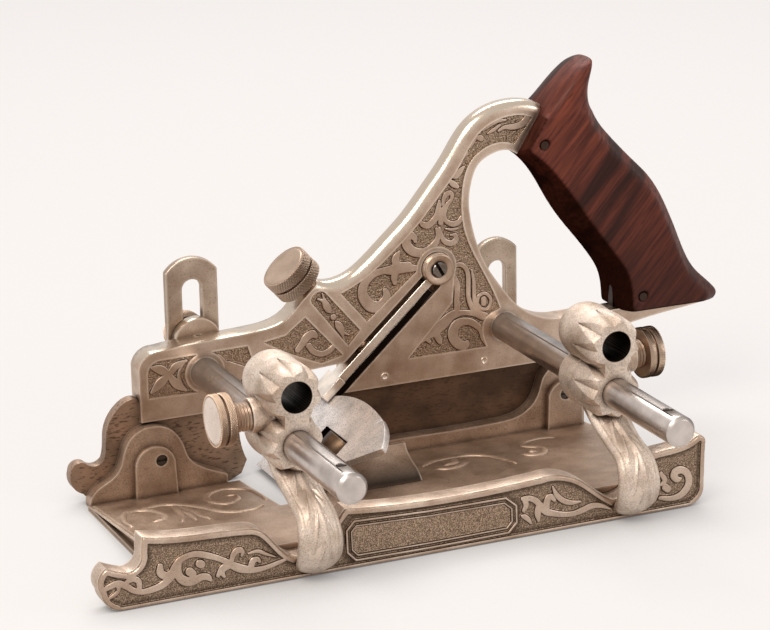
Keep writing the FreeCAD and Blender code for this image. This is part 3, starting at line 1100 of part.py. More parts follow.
# Adjusting nut and its stud, behind the cutter
def make_adjuster():
    low = size.flange_low
    nut = round_along((0, -size.adjuster_y), low, low + size.flange_thickness,
                      -size.adjuster_drop, size.adjuster_flange)
    hub = round_along((0, -size.adjuster_y), low, low + size.flange_thickness
                      + size.adjuster_hub_length, -size.adjuster_drop, size.adjuster_hub)
    bore = round_along((0, -size.adjuster_y), low - size.overrun, size.stud_high,
                       -size.adjuster_drop, size.stud_radius + size.running_clearance)
    piece = doc.addObject("Part::Feature", "adjusting_nut")
    piece.Shape = nut.fuse(hub).cut(bore)
    stud = doc.addObject("Part::Feature", "adjusting_stud")
    stud.Shape = round_along((0, -size.adjuster_y), size.stud_low, size.stud_high,
                             -size.adjuster_drop, size.stud_radius)


make_stock()
make_skates()
make_bed()
make_cutter()
make_lever()
make_rods()
make_screws()
make_groups()
make_stops()
make_fence()
make_tote()
make_adjuster()
doc.recompute()

NODES = ["main_stock", "rear_skate", "nose_skate", "nose_screws", "skate_rivets", "tote",
         "tote_pins", "front_rod", "rear_rod", "fence", "front_fence_screw", "rear_fence_screw",
         "filletster_bed", "bed_screws", "cutter", "adjusting_nut", "adjusting_stud", "lever_cap",
         "lever_screw", "cap_screw", "front_stop", "front_stop_screw", "front_stop_washer",
         "rear_stop", "rear_stop_screw", "rear_stop_washer"]

for item in doc.Objects:
    if "Invalid" in item.State or "Error" in item.State:
        raise RuntimeError(f"{item.Label} failed: {item.State}")
pieces = {}
for label in NODES:
    item = doc.getObjectsByLabel(label)[0]
    if item.Shape.isNull() or not item.Shape.isValid() or not item.Shape.Solids:
        raise RuntimeError(f"{label} has no valid solid")
    pieces[label] = item.Shape

whole = FreeCAD.BoundBox()
for shape in pieces.values():
    whole.add(shape.optimalBoundingBox())
shift = Vector(-(whole.XMin + whole.XMax) / 2, -(whole.YMin + whole.YMax) / 2, -whole.ZMin)
print(f"box {whole.XLength:.3f} x {whole.YLength:.3f} x {whole.ZLength:.3f}, "
      f"shift {shift.x:.4f} {shift.y:.4f} {shift.z:.4f}")

os.makedirs("parts", exist_ok=True)
for label, shape in pieces.items():
    moved = shape.copy()
    moved.translate(shift)
    moved.exportStep(f"parts/{label}.step")
    print(f"{label}: {len(shape.Solids)} solid(s), {shape.Volume / 1000:.2f} cm3")
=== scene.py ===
# %% [markdown]
# # A plow and filletster plane with a bull nose
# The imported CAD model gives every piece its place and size. This lesson dresses it: it gives each
# metal and the rosewood a procedural finish, and adds what a solid modeller leaves out, such as the
# cast scrolls, the pebbled grounds, knurling, threads and softened edges.

# %% Load the frame
import math
import bpy
import bmesh
import numpy as np
from mathutils import Matrix, Vector
from mathutils.bvhtree import BVHTree


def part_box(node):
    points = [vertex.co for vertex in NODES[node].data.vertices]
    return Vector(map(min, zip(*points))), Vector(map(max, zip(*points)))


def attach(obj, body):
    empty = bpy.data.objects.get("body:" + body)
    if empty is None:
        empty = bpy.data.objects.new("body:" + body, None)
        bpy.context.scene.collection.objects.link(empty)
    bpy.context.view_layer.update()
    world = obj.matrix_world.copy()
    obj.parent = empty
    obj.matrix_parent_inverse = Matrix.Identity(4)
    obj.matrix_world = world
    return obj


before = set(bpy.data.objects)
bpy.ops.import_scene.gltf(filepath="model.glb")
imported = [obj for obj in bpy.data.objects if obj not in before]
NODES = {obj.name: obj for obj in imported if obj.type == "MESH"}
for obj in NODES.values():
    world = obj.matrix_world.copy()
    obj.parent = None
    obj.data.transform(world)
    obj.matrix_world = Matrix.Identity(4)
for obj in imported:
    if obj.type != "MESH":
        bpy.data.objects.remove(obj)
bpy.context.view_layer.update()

MM = 0.001
# The rods' x, the heights of the fence's lower and upper bores, and two faces, in millimetres
ROD_X = (0.0, 104.775)
BOSS_Z = (38.1, 53.0)
STOCK_THICKNESS = 8.0
FENCE_FACE = -83.5
# The CAD is drawn from the front rod's axis; this is where that axis lies in the row frame
ROD_LOW, ROD_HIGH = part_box("front_rod")
ORIGIN = Vector(((ROD_LOW.x + ROD_HIGH.x) / 2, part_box("main_stock")[0].y, 0.0))
print("the front rod's axis and the stock's near face meet at", [round(v, 5) for v in ORIGIN])


def at(x, y, z):
    """A place given in millimetres from the front rod's axis, as a point of the frame."""
    return Vector((x * MM + ORIGIN.x, y * MM + ORIGIN.y, z * MM))


def link(name, data):
    """A new object in the scene."""
    item = bpy.data.objects.new(name, data)
    bpy.context.scene.collection.objects.link(item)
    return item


def new_piece(name, vertices, faces, material, smooth=True):
    """A new mesh object in one material."""
    mesh = bpy.data.meshes.new(name)
    mesh.from_pydata(vertices, [], faces)
    mesh.materials.append(material)
    mesh.polygons.foreach_set("use_smooth", [smooth] * len(mesh.polygons))
    mesh.update()
    return link(name, mesh)


# %% [markdown]
# ## Colours and nodes
# Colours are written as sRGB hex, as a colour picker shows them, and turned to linear light once.
# A single helper adds a node, sets it and links it, so a material reads as a short list.

# %% Colour and node helpers
def rgb(code):
    """Linear colour of an sRGB hex code."""
    parts = [int(code[k:k + 2], 16) / 255 for k in (1, 3, 5)]
    linear = [c / 12.92 if c <= 0.04045 else ((c + 0.055) / 1.055) ** 2.4 for c in parts]
    return (*linear, 1.0)


def add(tree, kind, inputs=None, **settings):
    """One node with its settings; an input is a value or the socket that feeds it."""
    node = tree.nodes.new(kind)
    for name, value in settings.items():
        setattr(node, name, value)
    for socket, value in (inputs or {}).items():
        if isinstance(value, bpy.types.NodeSocket):
            tree.links.new(value, node.inputs[socket])
        else:
            node.inputs[socket].default_value = value
    return node


def new_material(name):
    """An empty material with its shader, output and Object coordinates."""
    material = bpy.data.materials.new(name)
    material.use_nodes = True
    tree = material.node_tree
    tree.nodes.clear()
    shader = add(tree, "ShaderNodeBsdfPrincipled")
    add(tree, "ShaderNodeOutputMaterial", {"Surface": shader.outputs["BSDF"]})
    place = add(tree, "ShaderNodeTexCoord").outputs["Object"]
    return material, tree, shader, place


def grain(tree, place, size_mm, detail=3.0, stretch=(1, 1, 1)):
    """Soft noise whose lumps are about size_mm across."""
    moved = add(tree, "ShaderNodeMapping", {"Vector": place, "Scale": stretch})
    noise = add(tree, "ShaderNodeTexNoise", {"Vector": moved.outputs["Vector"],
                "Scale": 1 / (size_mm * MM), "Detail": detail})
    return noise.outputs["Fac"]


def blend(tree, factor, first, second, share=1.0):
    """Mixes two colours, each a hex code or a socket, by at most a share of the second."""
    if share != 1:
        factor = product(tree, factor, share)
    node = add(tree, "ShaderNodeMix", {0: factor}, data_type="RGBA")
    for socket, value in ((6, first), (7, second)):
        if isinstance(value, str):
            node.inputs[socket].default_value = rgb(value)
        else:
            tree.links.new(value, node.inputs[socket])
    return node.outputs[2]


def span(tree, value, low, high, to_low=0.0, to_high=1.0):
    """Maps a stretch of a value to another stretch, clamped."""
    limits = {0: value, 1: low, 2: high, 3: to_low, 4: to_high}
    return add(tree, "ShaderNodeMapRange", limits).outputs[0]


def calc(tree, operation, *values):
    """The result of a maths node."""
    return add(tree, "ShaderNodeMath", dict(enumerate(values)), operation=operation).outputs[0]


def product(tree, *factors):
    """All the factors multiplied."""
    result = factors[0]
    for factor in factors[1:]:
        result = calc(tree, "MULTIPLY", result, factor)
    return result


def axis_of(tree, vector, axis):
    """One coordinate of a vector."""
    return add(tree, "ShaderNodeSeparateXYZ", {0: vector}).outputs[axis]


def along(tree, place, axis, start_mm, end_mm):
    """Rises from 0 to 1 between two places on an axis, counted as at() counts them."""
    low, high = (ORIGIN["XYZ".index(axis)] + mm * MM for mm in (start_mm, end_mm))
    return span(tree, axis_of(tree, place, axis), low, high)


def facing(tree, way):
    """How squarely the surface faces a way, from -1 to 1."""
    both = {0: add(tree, "ShaderNodeNewGeometry").outputs["Normal"], 1: way}
    return add(tree, "ShaderNodeVectorMath", both, operation="DOT_PRODUCT").outputs["Value"]


def from_line(tree, place, x_mm, z_mm):
    """Distance from the line along y at a given x from the front rod and a given height."""
    gap = add(tree, "ShaderNodeCombineXYZ", {
        0: calc(tree, "SUBTRACT", axis_of(tree, place, "X"), ORIGIN.x + x_mm * MM),
        1: calc(tree, "SUBTRACT", axis_of(tree, place, "Z"), z_mm * MM)}).outputs[0]
    return add(tree, "ShaderNodeVectorMath", {0: gap}, operation="LENGTH").outputs["Value"]


def occlusion(tree, reach_mm, samples, inside=False):
    """Share of the nearby space that is open, over the true face, so that facets cast no shade."""
    flat = add(tree, "ShaderNodeNewGeometry").outputs["True Normal"]
    return add(tree, "ShaderNodeAmbientOcclusion", {"Distance": reach_mm * MM, "Normal": flat},
               samples=samples, inside=inside).outputs["AO"]


def hollow(tree, reach_mm):
    """1 in corners and grooves, 0 in the open; it places dirt and painted shade."""
    return span(tree, occlusion(tree, reach_mm, 6), 0.35, 0.95, 1.0, 0.0)


def edge_wear_and_sheen(tree, reach_mm):
    """1 on convex edges, where rays into the metal soon come out, 0 on flats; there the plate is
    lighter where rubbed and painted with a highlight.
    """
    return span(tree, occlusion(tree, reach_mm, 8, inside=True), 0.62, 0.9, 1.0, 0.0)


def bumps(tree, shader, height, depth_mm):
    """Fine surface texture, as deep as it is on the real piece."""
    node = add(tree, "ShaderNodeBump", {"Height": height, "Distance": depth_mm * MM, "Strength": 1.0})
    tree.links.new(node.outputs["Normal"], shader.inputs["Normal"])


def coat(tree, shader, tone, roughness, metallic=0.0):
    """Hands a material's colour, roughness and metal share to its shader."""
    tree.links.new(tone, shader.inputs["Base Color"])
    tree.links.new(roughness, shader.inputs["Roughness"])
    shader.inputs["Metallic"].default_value = metallic


# %% [markdown]
# ## Nickel plate on cast iron
# The castings were nickel plated, and a century of hands has left the plate warm, thin on the edges
# and brown in every hollow. A metal takes its colour from its surroundings, so the base colour is
# the plate's own warm tint, the grain of the sand mould is a shallow bump, and the dirt with painted
# shade in the hollows follows how closed in each spot is. Convex edges are lighter where rubbed and
# carry a painted highlight. Four local effects are switched on where they belong: the rail rubbed
# bright with painted shade on the tongue under the handle, painted shade in the bores of the bosses,
# painted shade on the ramp in the bed's mouth, and the stippled ground of the reliefs with painted
# shade on its low ground and at the foot of the scrolls.

# %% Local effects on the castings
def rubbed_rail_and_shaded_tongue(tree, place, tone, roughness):
    """The top rail is brighter and smoother, and the tongue in the handle's slot gets painted shade.
    """
    up = facing(tree, (0, 0, 1))
    rail = product(tree, span(tree, up, 0.12, 0.4), along(tree, place, "Z", 43, 47))
    tone = blend(tree, rail, tone, "#c6b7a6")
    roughness = add(tree, "ShaderNodeMix", {0: rail, 2: roughness, 3: 0.22}).outputs[0]
    # Painted shade: the tongue where it runs into the handle's slot is painted near black
    aside = calc(tree, "ABSOLUTE", calc(tree, "SUBTRACT", axis_of(tree, place, "Y"),
                                        ORIGIN.y + STOCK_THICKNESS / 2 * MM))
    tongue = product(tree, along(tree, place, "X", 140, 140.5), along(tree, place, "Z", 38, 38.5),
                     span(tree, aside, 0.00155, 0.00175, 1.0, 0.0), span(tree, up, 0.5, 0.8, 1.0, 0.0))
    return blend(tree, tongue, tone, "#2a1812"), roughness


def shaded_ramp(tree, place, tone):
    """The ramp in the bed's mouth darkens downward, and the sill by the fence is lighter."""
    ramp = product(tree, along(tree, place, "X", 59.2, 58.8), along(tree, place, "X", 29.8, 30.2),
                   along(tree, place, "Y", -29, -37.2),
                   span(tree, facing(tree, (0, 1, 0)), -0.3, -0.1, 1.0, 0.0))
    tone = blend(tree, along(tree, place, "Y", -40, -60), tone, "#d3bca6", 0.22)
    return blend(tree, ramp, tone, "#231a14", 0.95)


def stippled_and_shaded_ground(tree, place, tone):
    """Colours a relief by its attribute rise: painted shade on the low ground and at the foot of the
    scrolls, mottled between.
    """
    rise = add(tree, "ShaderNodeAttribute", attribute_name="rise").outputs["Fac"]
    low = blend(tree, span(tree, grain(tree, place, 0.30, 2.0), 0.40, 0.60), "#665241", "#b9a18a")
    # Painted shade where the ground lies low: between the pebbles and beside the rims
    low = blend(tree, span(tree, rise, 0.0, 0.18, 0.92, 0.0), low, "#3b2c22")
    # Painted shade on the shoulders at the foot of the scrolls
    low = blend(tree, span(tree, rise, 0.22, 0.30), low, "#3d2d22")
    return blend(tree, span(tree, rise, 0.62, 0.9), low, tone)


# %% Nickel-plated castings
def nickel(name, light="#cdb8a6", dark="#ad9480", grime_and_shade="#54402f", rough=(0.30, 0.44), effect=None,
           grain_depth=0.03, reach=2.2, pits=0.35, stipple=0.12, wear_and_sheen=0.6):
    """Worn plate: two-tone clouds, pores, stipple, dirt and painted shade in hollows, painted
    highlight on rubbed edges.
    """
    material, tree, shader, place = new_material(name)
    tone = blend(tree, span(tree, grain(tree, place, 9, 4.0), 0.35, 0.68), light, dark)
    for size, low, high, share in ((0.55, 0.60, 0.72, pits), (0.38, 0.40, 0.62, stipple)):
        specks = span(tree, grain(tree, place, size, 2.0), low, high)
        tone = blend(tree, specks, tone, grime_and_shade, share)
    if effect == "ramp":
        tone = shaded_ramp(tree, place, tone)
    # Dirt and painted shade darken the hollows, as far as each spot is closed in
    tone = blend(tree, hollow(tree, reach), tone, grime_and_shade, 0.85)
    # Convex edges are lighter where rubbed, and painted with a highlight
    if wear_and_sheen:
        tone = blend(tree, edge_wear_and_sheen(tree, 0.9), tone, "#ecdccb", wear_and_sheen)
    roughness = span(tree, grain(tree, place, 4), 0.3, 0.7, *rough)
    if effect == "rail":
        tone, roughness = rubbed_rail_and_shaded_tongue(tree, place, tone, roughness)
    elif effect == "bores":
        # Painted shade: inside the bosses' empty upper bores the casting is painted near black
        for rod in ROD_X:
            inside = span(tree, from_line(tree, place, rod, BOSS_Z[1]), 0.0048, 0.0050, 1.0, 0.0)
            tone = blend(tree, inside, tone, "#17110c")
    elif effect == "relief":
        tone = stippled_and_shaded_ground(tree, place, tone)
    coat(tree, shader, tone, roughness, 0.92)
    bumps(tree, shader, grain(tree, place, 0.45, 2.0), grain_depth)
    return material


NICKEL_STOCK = nickel("Worn nickel plate, stock", effect="rail")
NICKEL_RELIEF = nickel("Worn nickel plate, scrolls", effect="relief", reach=1.2, wear_and_sheen=0.0)
NICKEL_LEAF = nickel("Cast nickel plate, leaves", "#ebdcce", "#c2ae9c", "#55412f", (0.48, 0.62),
                     "bores", grain_depth=0.08, reach=1.8, pits=0.45, stipple=0.28, wear_and_sheen=0.0)
NICKEL_FENCE = nickel("Worn nickel plate, fence", "#d8c4b3", "#b69f8b", rough=(0.38, 0.52),
                      effect="bores", grain_depth=0.06, pits=0.5, stipple=0.24)
NICKEL_BED = nickel("Dull nickel plate, bed", "#bea692", "#9a826e", rough=(0.42, 0.55), effect="ramp",
                    grain_depth=0.10, pits=0.5, stipple=0.26, wear_and_sheen=0.4)
NICKEL_FOLIAGE = nickel("Dull nickel plate, foliage", "#d2baa5", "#b39b86", rough=(0.42, 0.55),
                        grain_depth=0.06, stipple=0.3, wear_and_sheen=0.0)
NICKEL_STOPS = nickel("Worn nickel plate, stops", "#c0ad9b", "#9d8876", pits=0.6)

# %% [markdown]
# ## Bare and oiled iron
# The two skates are iron that has lost its plate. The bull nose is scratched along its length, and
# the rear skate is nearly black with old oil. Noise stretched along x draws the scratches.

# %% Skates
def iron(name, light, dark, rough, scratch):
    """Iron with dark scratches along x."""
    material, tree, shader, place = new_material(name)
    cloud = grain(tree, place, 12, 5.0)
    tone = blend(tree, span(tree, cloud, 0.35, 0.65), light, dark)
    marks = span(tree, grain(tree, place, 0.55, 3.0, (0.3, 1, 1)), 0.54, 0.66)
    tone = blend(tree, marks, tone, "#33241a", scratch)
    # Dirt and painted shade darken the hollows
    tone = blend(tree, hollow(tree, 3.0), tone, "#1e150f", 0.6)
    coat(tree, shader, tone, span(tree, cloud, 0.3, 0.7, *rough), 0.8)
    bumps(tree, shader, grain(tree, place, 0.6, 3.0, (0.3, 1, 1)), 0.05)
    return material


NOSE_IRON = iron("Scratched bare iron", "#ab8f7a", "#86705e", (0.38, 0.5), 0.7)
SKATE_IRON = iron("Oiled dark iron", "#705846", "#503d30", (0.42, 0.6), 0.4)

# %% [markdown]
# ## Steel
# The rods are bright ground steel with the fine marks of turning round them, and painted shade on
# the side that faces away from the light. The cutter is tool steel, stippled with tiny pits of old
# rust, and its narrow sides get painted shade, near black. The lever is bright only where it rubs.
# Small screws and pins are blackened. The lever screw seen in its slot is painted near black as shade.

# %% Rods, cutter, lever and small screws
def steel(name, colour, rough, stipple=0.0, effect=None):
    """Steel with soft stains, and pits, sides in painted shade, or turning marks and a shaded side
    where asked.
    """
    material, tree, shader, place = new_material(name)
    cloud = grain(tree, place, 6, 4.0)
    tone = blend(tree, span(tree, cloud, 0.35, 0.7, 0, 0.35), colour, "#4c4642")
    if stipple:
        pits = span(tree, grain(tree, place, 0.42, 2.0), 0.5, 0.66)
        tone = blend(tree, pits, tone, "#6d6763", stipple)
    if effect == "shaded sides":
        # Painted shade: the cutter's narrow sides in the throat are painted near black
        side = span(tree, calc(tree, "ABSOLUTE", facing(tree, (0, 1, 0))), 0.7, 0.9)
        tone = blend(tree, product(tree, side, along(tree, place, "Y", -13, -12)), tone, "#18110d")
    turned = effect == "turned"
    if turned:
        for rod in ROD_X:
            core = span(tree, from_line(tree, place, rod, BOSS_Z[0]), 0.0044, 0.00466, 1.0, 0.0)
            core = product(tree, core, along(tree, place, "Y", -112.5, -112))
            tone = blend(tree, core, tone, "#3a332f", 0.75)
        # Painted shade on the side of the rods that faces away from the light
        shaded_side = span(tree, facing(tree, (0.80, 0.0, 0.60)), 0.25, 0.85)
        tone = blend(tree, shaded_side, tone, "#4a423d", 0.78)
    # Dirt and painted shade darken the hollows
    tone = blend(tree, hollow(tree, 2.0), tone, "#241c17", 0.7)
    coat(tree, shader, tone, span(tree, cloud, 0.3, 0.7, *rough), 1.0)
    marks = grain(tree, place, 0.3, 2.0, (0.25, 4, 0.25)) if turned else grain(tree, place, 0.35, 2.0)
    bumps(tree, shader, marks, 0.012)
    return material


ROD_STEEL = steel("Ground steel", "#d2c8c1", (0.26, 0.36), effect="turned")
CUTTER_STEEL = steel("Stippled tool steel", "#f8f1ec", (0.38, 0.5), stipple=0.5, effect="shaded sides")
LEVER_STEEL = steel("Rubbed steel", "#fff3e6", (0.2, 0.32))
DARK_STEEL = steel("Blackened steel", "#5a524c", (0.35, 0.5))
PIN_STEEL = steel("Browned steel", "#3f2f29", (0.5, 0.62))
# Painted shade: the lever screw, seen down the head's slot, is painted near black
SLOT_SHADE = steel("Steel painted as slot shade", "#1d1714", (0.6, 0.7))
SLOT_STEEL = steel("Polished screw steel", "#9b948f", (0.2, 0.32))
THUMB_BRASS = nickel("Aged nickel on brass", "#bda28d", "#9a8069", rough=(0.28, 0.42), reach=1.0,
                     wear_and_sheen=0.15)
THUMB_FACE = nickel("Rubbed nickel on brass", "#f0e0d3", "#e0cfc1", rough=(0.25, 0.36), stipple=0.05,
                    wear_and_sheen=0.0)
NUT_BRASS = nickel("Dark brass", "#5d4a39", "#3e3025", wear_and_sheen=0.2)

# %% [markdown]
# ## Rosewood
# Rosewood is red-brown with near-black stripes that follow the length of the blank, and its pores
# are short dark dashes. The handle was cut so that the stripes run up its length, at a slant to the
# plane. Distorted bands give the stripes and stretched noise the pores, under a thin satin finish.
# It is darker towards the foot, and the side that faces forward and down carries painted shade.

# %% Rosewood
def rosewood(name):
    """Red-brown wood with dark stripes and pores, darker towards the foot, with painted shade on the
    side facing forward and down.
    """
    material, tree, shader, place = new_material(name)
    turned = add(tree, "ShaderNodeMapping", {"Vector": place, "Rotation": (0, math.radians(42), 0),
                 "Scale": (1.0, 1.6, 16.0)}, vector_type="TEXTURE").outputs["Vector"]
    wander, stripe, pores = (add(tree, "ShaderNodeTexNoise", {
        "Vector": turned, "Scale": scale, "Detail": detail, "Distortion": bend}).outputs["Fac"]
        for scale, detail, bend in ((75.0, 2.0, 0.35), (850.0, 4.0, 0.2), (2200.0, 1.0, 0.0)))
    tone = blend(tree, span(tree, stripe, 0.30, 0.70), "#733a2b", "#46211a")
    tone = blend(tree, span(tree, wander, 0.50, 0.58), tone, "#1d0e0b", 0.85)
    tone = blend(tree, along(tree, place, "Z", 85, 50), tone, "#200f0b", 0.6)
    tone = blend(tree, span(tree, pores, 0.6, 0.7), tone, "#1c0b06", 0.45)
    # Painted shade on the side that faces forward and down, with its sheen lowered
    front_down_shade = facing(tree, (-0.80, 0.0, -0.60))
    tone = blend(tree, span(tree, front_down_shade, 0.12, 0.42), tone, "#140906", 0.8)
    coat(tree, shader, tone, span(tree, stripe, 0.3, 0.7, 0.36, 0.5))
    tree.links.new(span(tree, front_down_shade, 0.12, 0.42, 0.14, 0.0), shader.inputs["Specular IOR Level"])
    bumps(tree, shader, pores, 0.03)
    return material


ROSEWOOD = rosewood("Rosewood, satin")

# %% [markdown]
# ## Each CAD piece gets its finish and softened edges
# A casting has no sharp edges. Welding the loose triangles and bevelling only real corners rounds
# them by a few tenths of a millimetre, which is what catches the light in the photograph. The handle
# is wood worn by hands, so it is remeshed and rubbed smooth, and its horn is rounded further.

# %% Dress the CAD nodes
FINISH = {
    "main_stock": (NICKEL_STOCK, 0.22), "rear_skate": (SKATE_IRON, None),
    "nose_skate": (NOSE_IRON, 0.35), "nose_screws": (DARK_STEEL, 0.12),
    "skate_rivets": (NICKEL_STOCK, 0.1), "tote": (ROSEWOOD, None), "tote_pins": (PIN_STEEL, 0.15),
    "front_rod": (ROD_STEEL, 0.25), "rear_rod": (ROD_STEEL, 0.25), "fence": (NICKEL_FENCE, 0.35),
    "front_fence_screw": (THUMB_BRASS, 0.25), "rear_fence_screw": (THUMB_BRASS, 0.25),
    "filletster_bed": (NICKEL_BED, 0.4), "bed_screws": (DARK_STEEL, 0.1),
    "cutter": (CUTTER_STEEL, 0.15), "adjusting_nut": (NUT_BRASS, 0.25),
    "adjusting_stud": (DARK_STEEL, 0.2), "lever_cap": (LEVER_STEEL, 0.2),
    "lever_screw": (SLOT_SHADE, 0.1), "cap_screw": (THUMB_BRASS, 0.3)}
for place in ("front_stop", "rear_stop"):
    FINISH |= {place: (NICKEL_STOPS, 0.3), f"{place}_screw": (THUMB_BRASS, 0.25),
               f"{place}_washer": (DARK_STEEL, 0.15)}


def rounded_horn():
    """Rounds the top of the handle more than the rest."""
    group = bpy.data.node_groups.new("Rounded horn", "GeometryNodeTree")
    for way in ("INPUT", "OUTPUT"):
        group.interface.new_socket(name="Geometry", in_out=way, socket_type="NodeSocketGeometry")
    inside = add(group, "NodeGroupInput").outputs[0]
    spot = add(group, "GeometryNodeInputPosition").outputs[0]
    near_top = span(group, axis_of(group, spot, "Z"), 0.108, 0.117)
    blurred = add(group, "GeometryNodeBlurAttribute", data_type="FLOAT_VECTOR")
    for name, value in (("Value", spot), ("Weight", near_top)):
        group.links.new(value, next(s for s in blurred.inputs if s.name == name and s.enabled))
    next(s for s in blurred.inputs if s.name == "Iterations").default_value = 130
    smooth = next(s for s in blurred.outputs if s.enabled)
    moved = add(group, "GeometryNodeSetPosition", {"Geometry": inside, "Position": smooth})
    add(group, "NodeGroupOutput", {0: moved.outputs[0]})
    return group


def soften(item, width_mm):
    """Weld, then round the corners that turn by more than 40 degrees, if a width is given."""
    weld = item.modifiers.new("weld", "WELD")
    weld.merge_threshold = 1e-6
    if width_mm is None:
        return
    bevel = item.modifiers.new("soft edges", "BEVEL")
    bevel.width = width_mm * MM
    bevel.segments = 2
    bevel.limit_method = "ANGLE"
    bevel.angle_limit = math.radians(40)
    bevel.harden_normals = True
    bevel.use_clamp_overlap = True


def wear_handle(item):
    """Remesh the handle, rub it smooth and round its horn."""
    skin = item.modifiers.new("hand-worn wood", "REMESH")
    skin.mode = "VOXEL"
    skin.voxel_size = 0.62 * MM
    skin.use_smooth_shade = True
    rub = item.modifiers.new("rubbed smooth", "SMOOTH")
    rub.factor = 0.5
    rub.iterations = 22
    horn = item.modifiers.new("rounded horn", "NODES")
    horn.node_group = rounded_horn()


for node, (material, width) in FINISH.items():
    item = NODES[node]
    item.data.materials.clear()
    item.data.materials.append(material)
    soften(item, width)
wear_handle(NODES["tote"])
print(len(FINISH), "CAD pieces finished")

# %% [markdown]
# ## Cast scrolls in the pebbled panels
# The panels of the stock are sunk grounds, pebbled by the pattern maker's punch, and flat-topped
# scrolls stand in them level with the frame. Each panel becomes a height map over a fine grid: the
# ground is a field of small domes, and a scroll is a chain of discs drawn along a curve. Rays cast
# on the CAD piece say where a panel is sunk and flat, so the map fits its frame exactly.

# %% Scrolls drawn in millimetres from the front rod's axis
def strokes(text):
    """Strokes written as triples: across, up and half width; a slash parts two strokes."""
    rows = [[float(word) for word in row.split()] for row in text.split("/")]
    return [list(zip(row[::3], row[1::3], row[2::3])) for row in rows]


BLOCK_LEAVES = strokes("""
    -12 39.1 1.2  -14.6 41.1 1.8  -17.5 42.2 0.8 /
    -12.4 38.8 1.2  -15.1 36.6 1.8  -17.9 34.1 0.8 /
    -11.7 38.4 1.2  -9.5 35.6 1.7  -6.6 33.2 0.8 /
    -11.7 39.4 1.2  -9.6 41.5 1.5  -6.2 42.8 0.8 /
    4.8 42.8 0.8  6.4 40.9 1  7.6 38.4 1.2  9.3 36.2 1.4  11.6 34.5 1.2 /
    8 40 0.9  10.3 38 1.7  13 36.6 1.9  15.4 36.9 1 /
    -7.3 41.7 0.7  -8.5 39.5 0.8  -8.6 37.3 0.8  -7.6 34.8 0.7""")
TRIANGLE_CURL = strokes("""
    31.5 40.8 1.2  33 42.3 1.5  34.7 44.4 1.7  36.7 45.4 1.6  38 44.4 1.1 /
    35.4 41.6 1.3  37 39.4 1.3  39.7 38.3 1.3  42.5 38.9 1.3  44.7 40.9 1""")
BAND_TULIPS = strokes("""
    44.1 49.9 1.3  44.2 49.8 1.3 /
    45 48.2 0.75  46 46.6 1.55  46.8 44.9 1.3  47.2 43.2 0.75  47.7 41.4 0.6 /
    46.8 44.9 0.9  48.2 43.7 0.75  49.3 43.2 0.6 /
    43.2 51.6 0.75  42.2 53.2 1.55  41.4 54.9 1.3  41 56.6 0.75  40.5 58.2 0.6 /
    41.4 54.9 0.9  40 56.1 0.75  38.9 56.6 0.6""")
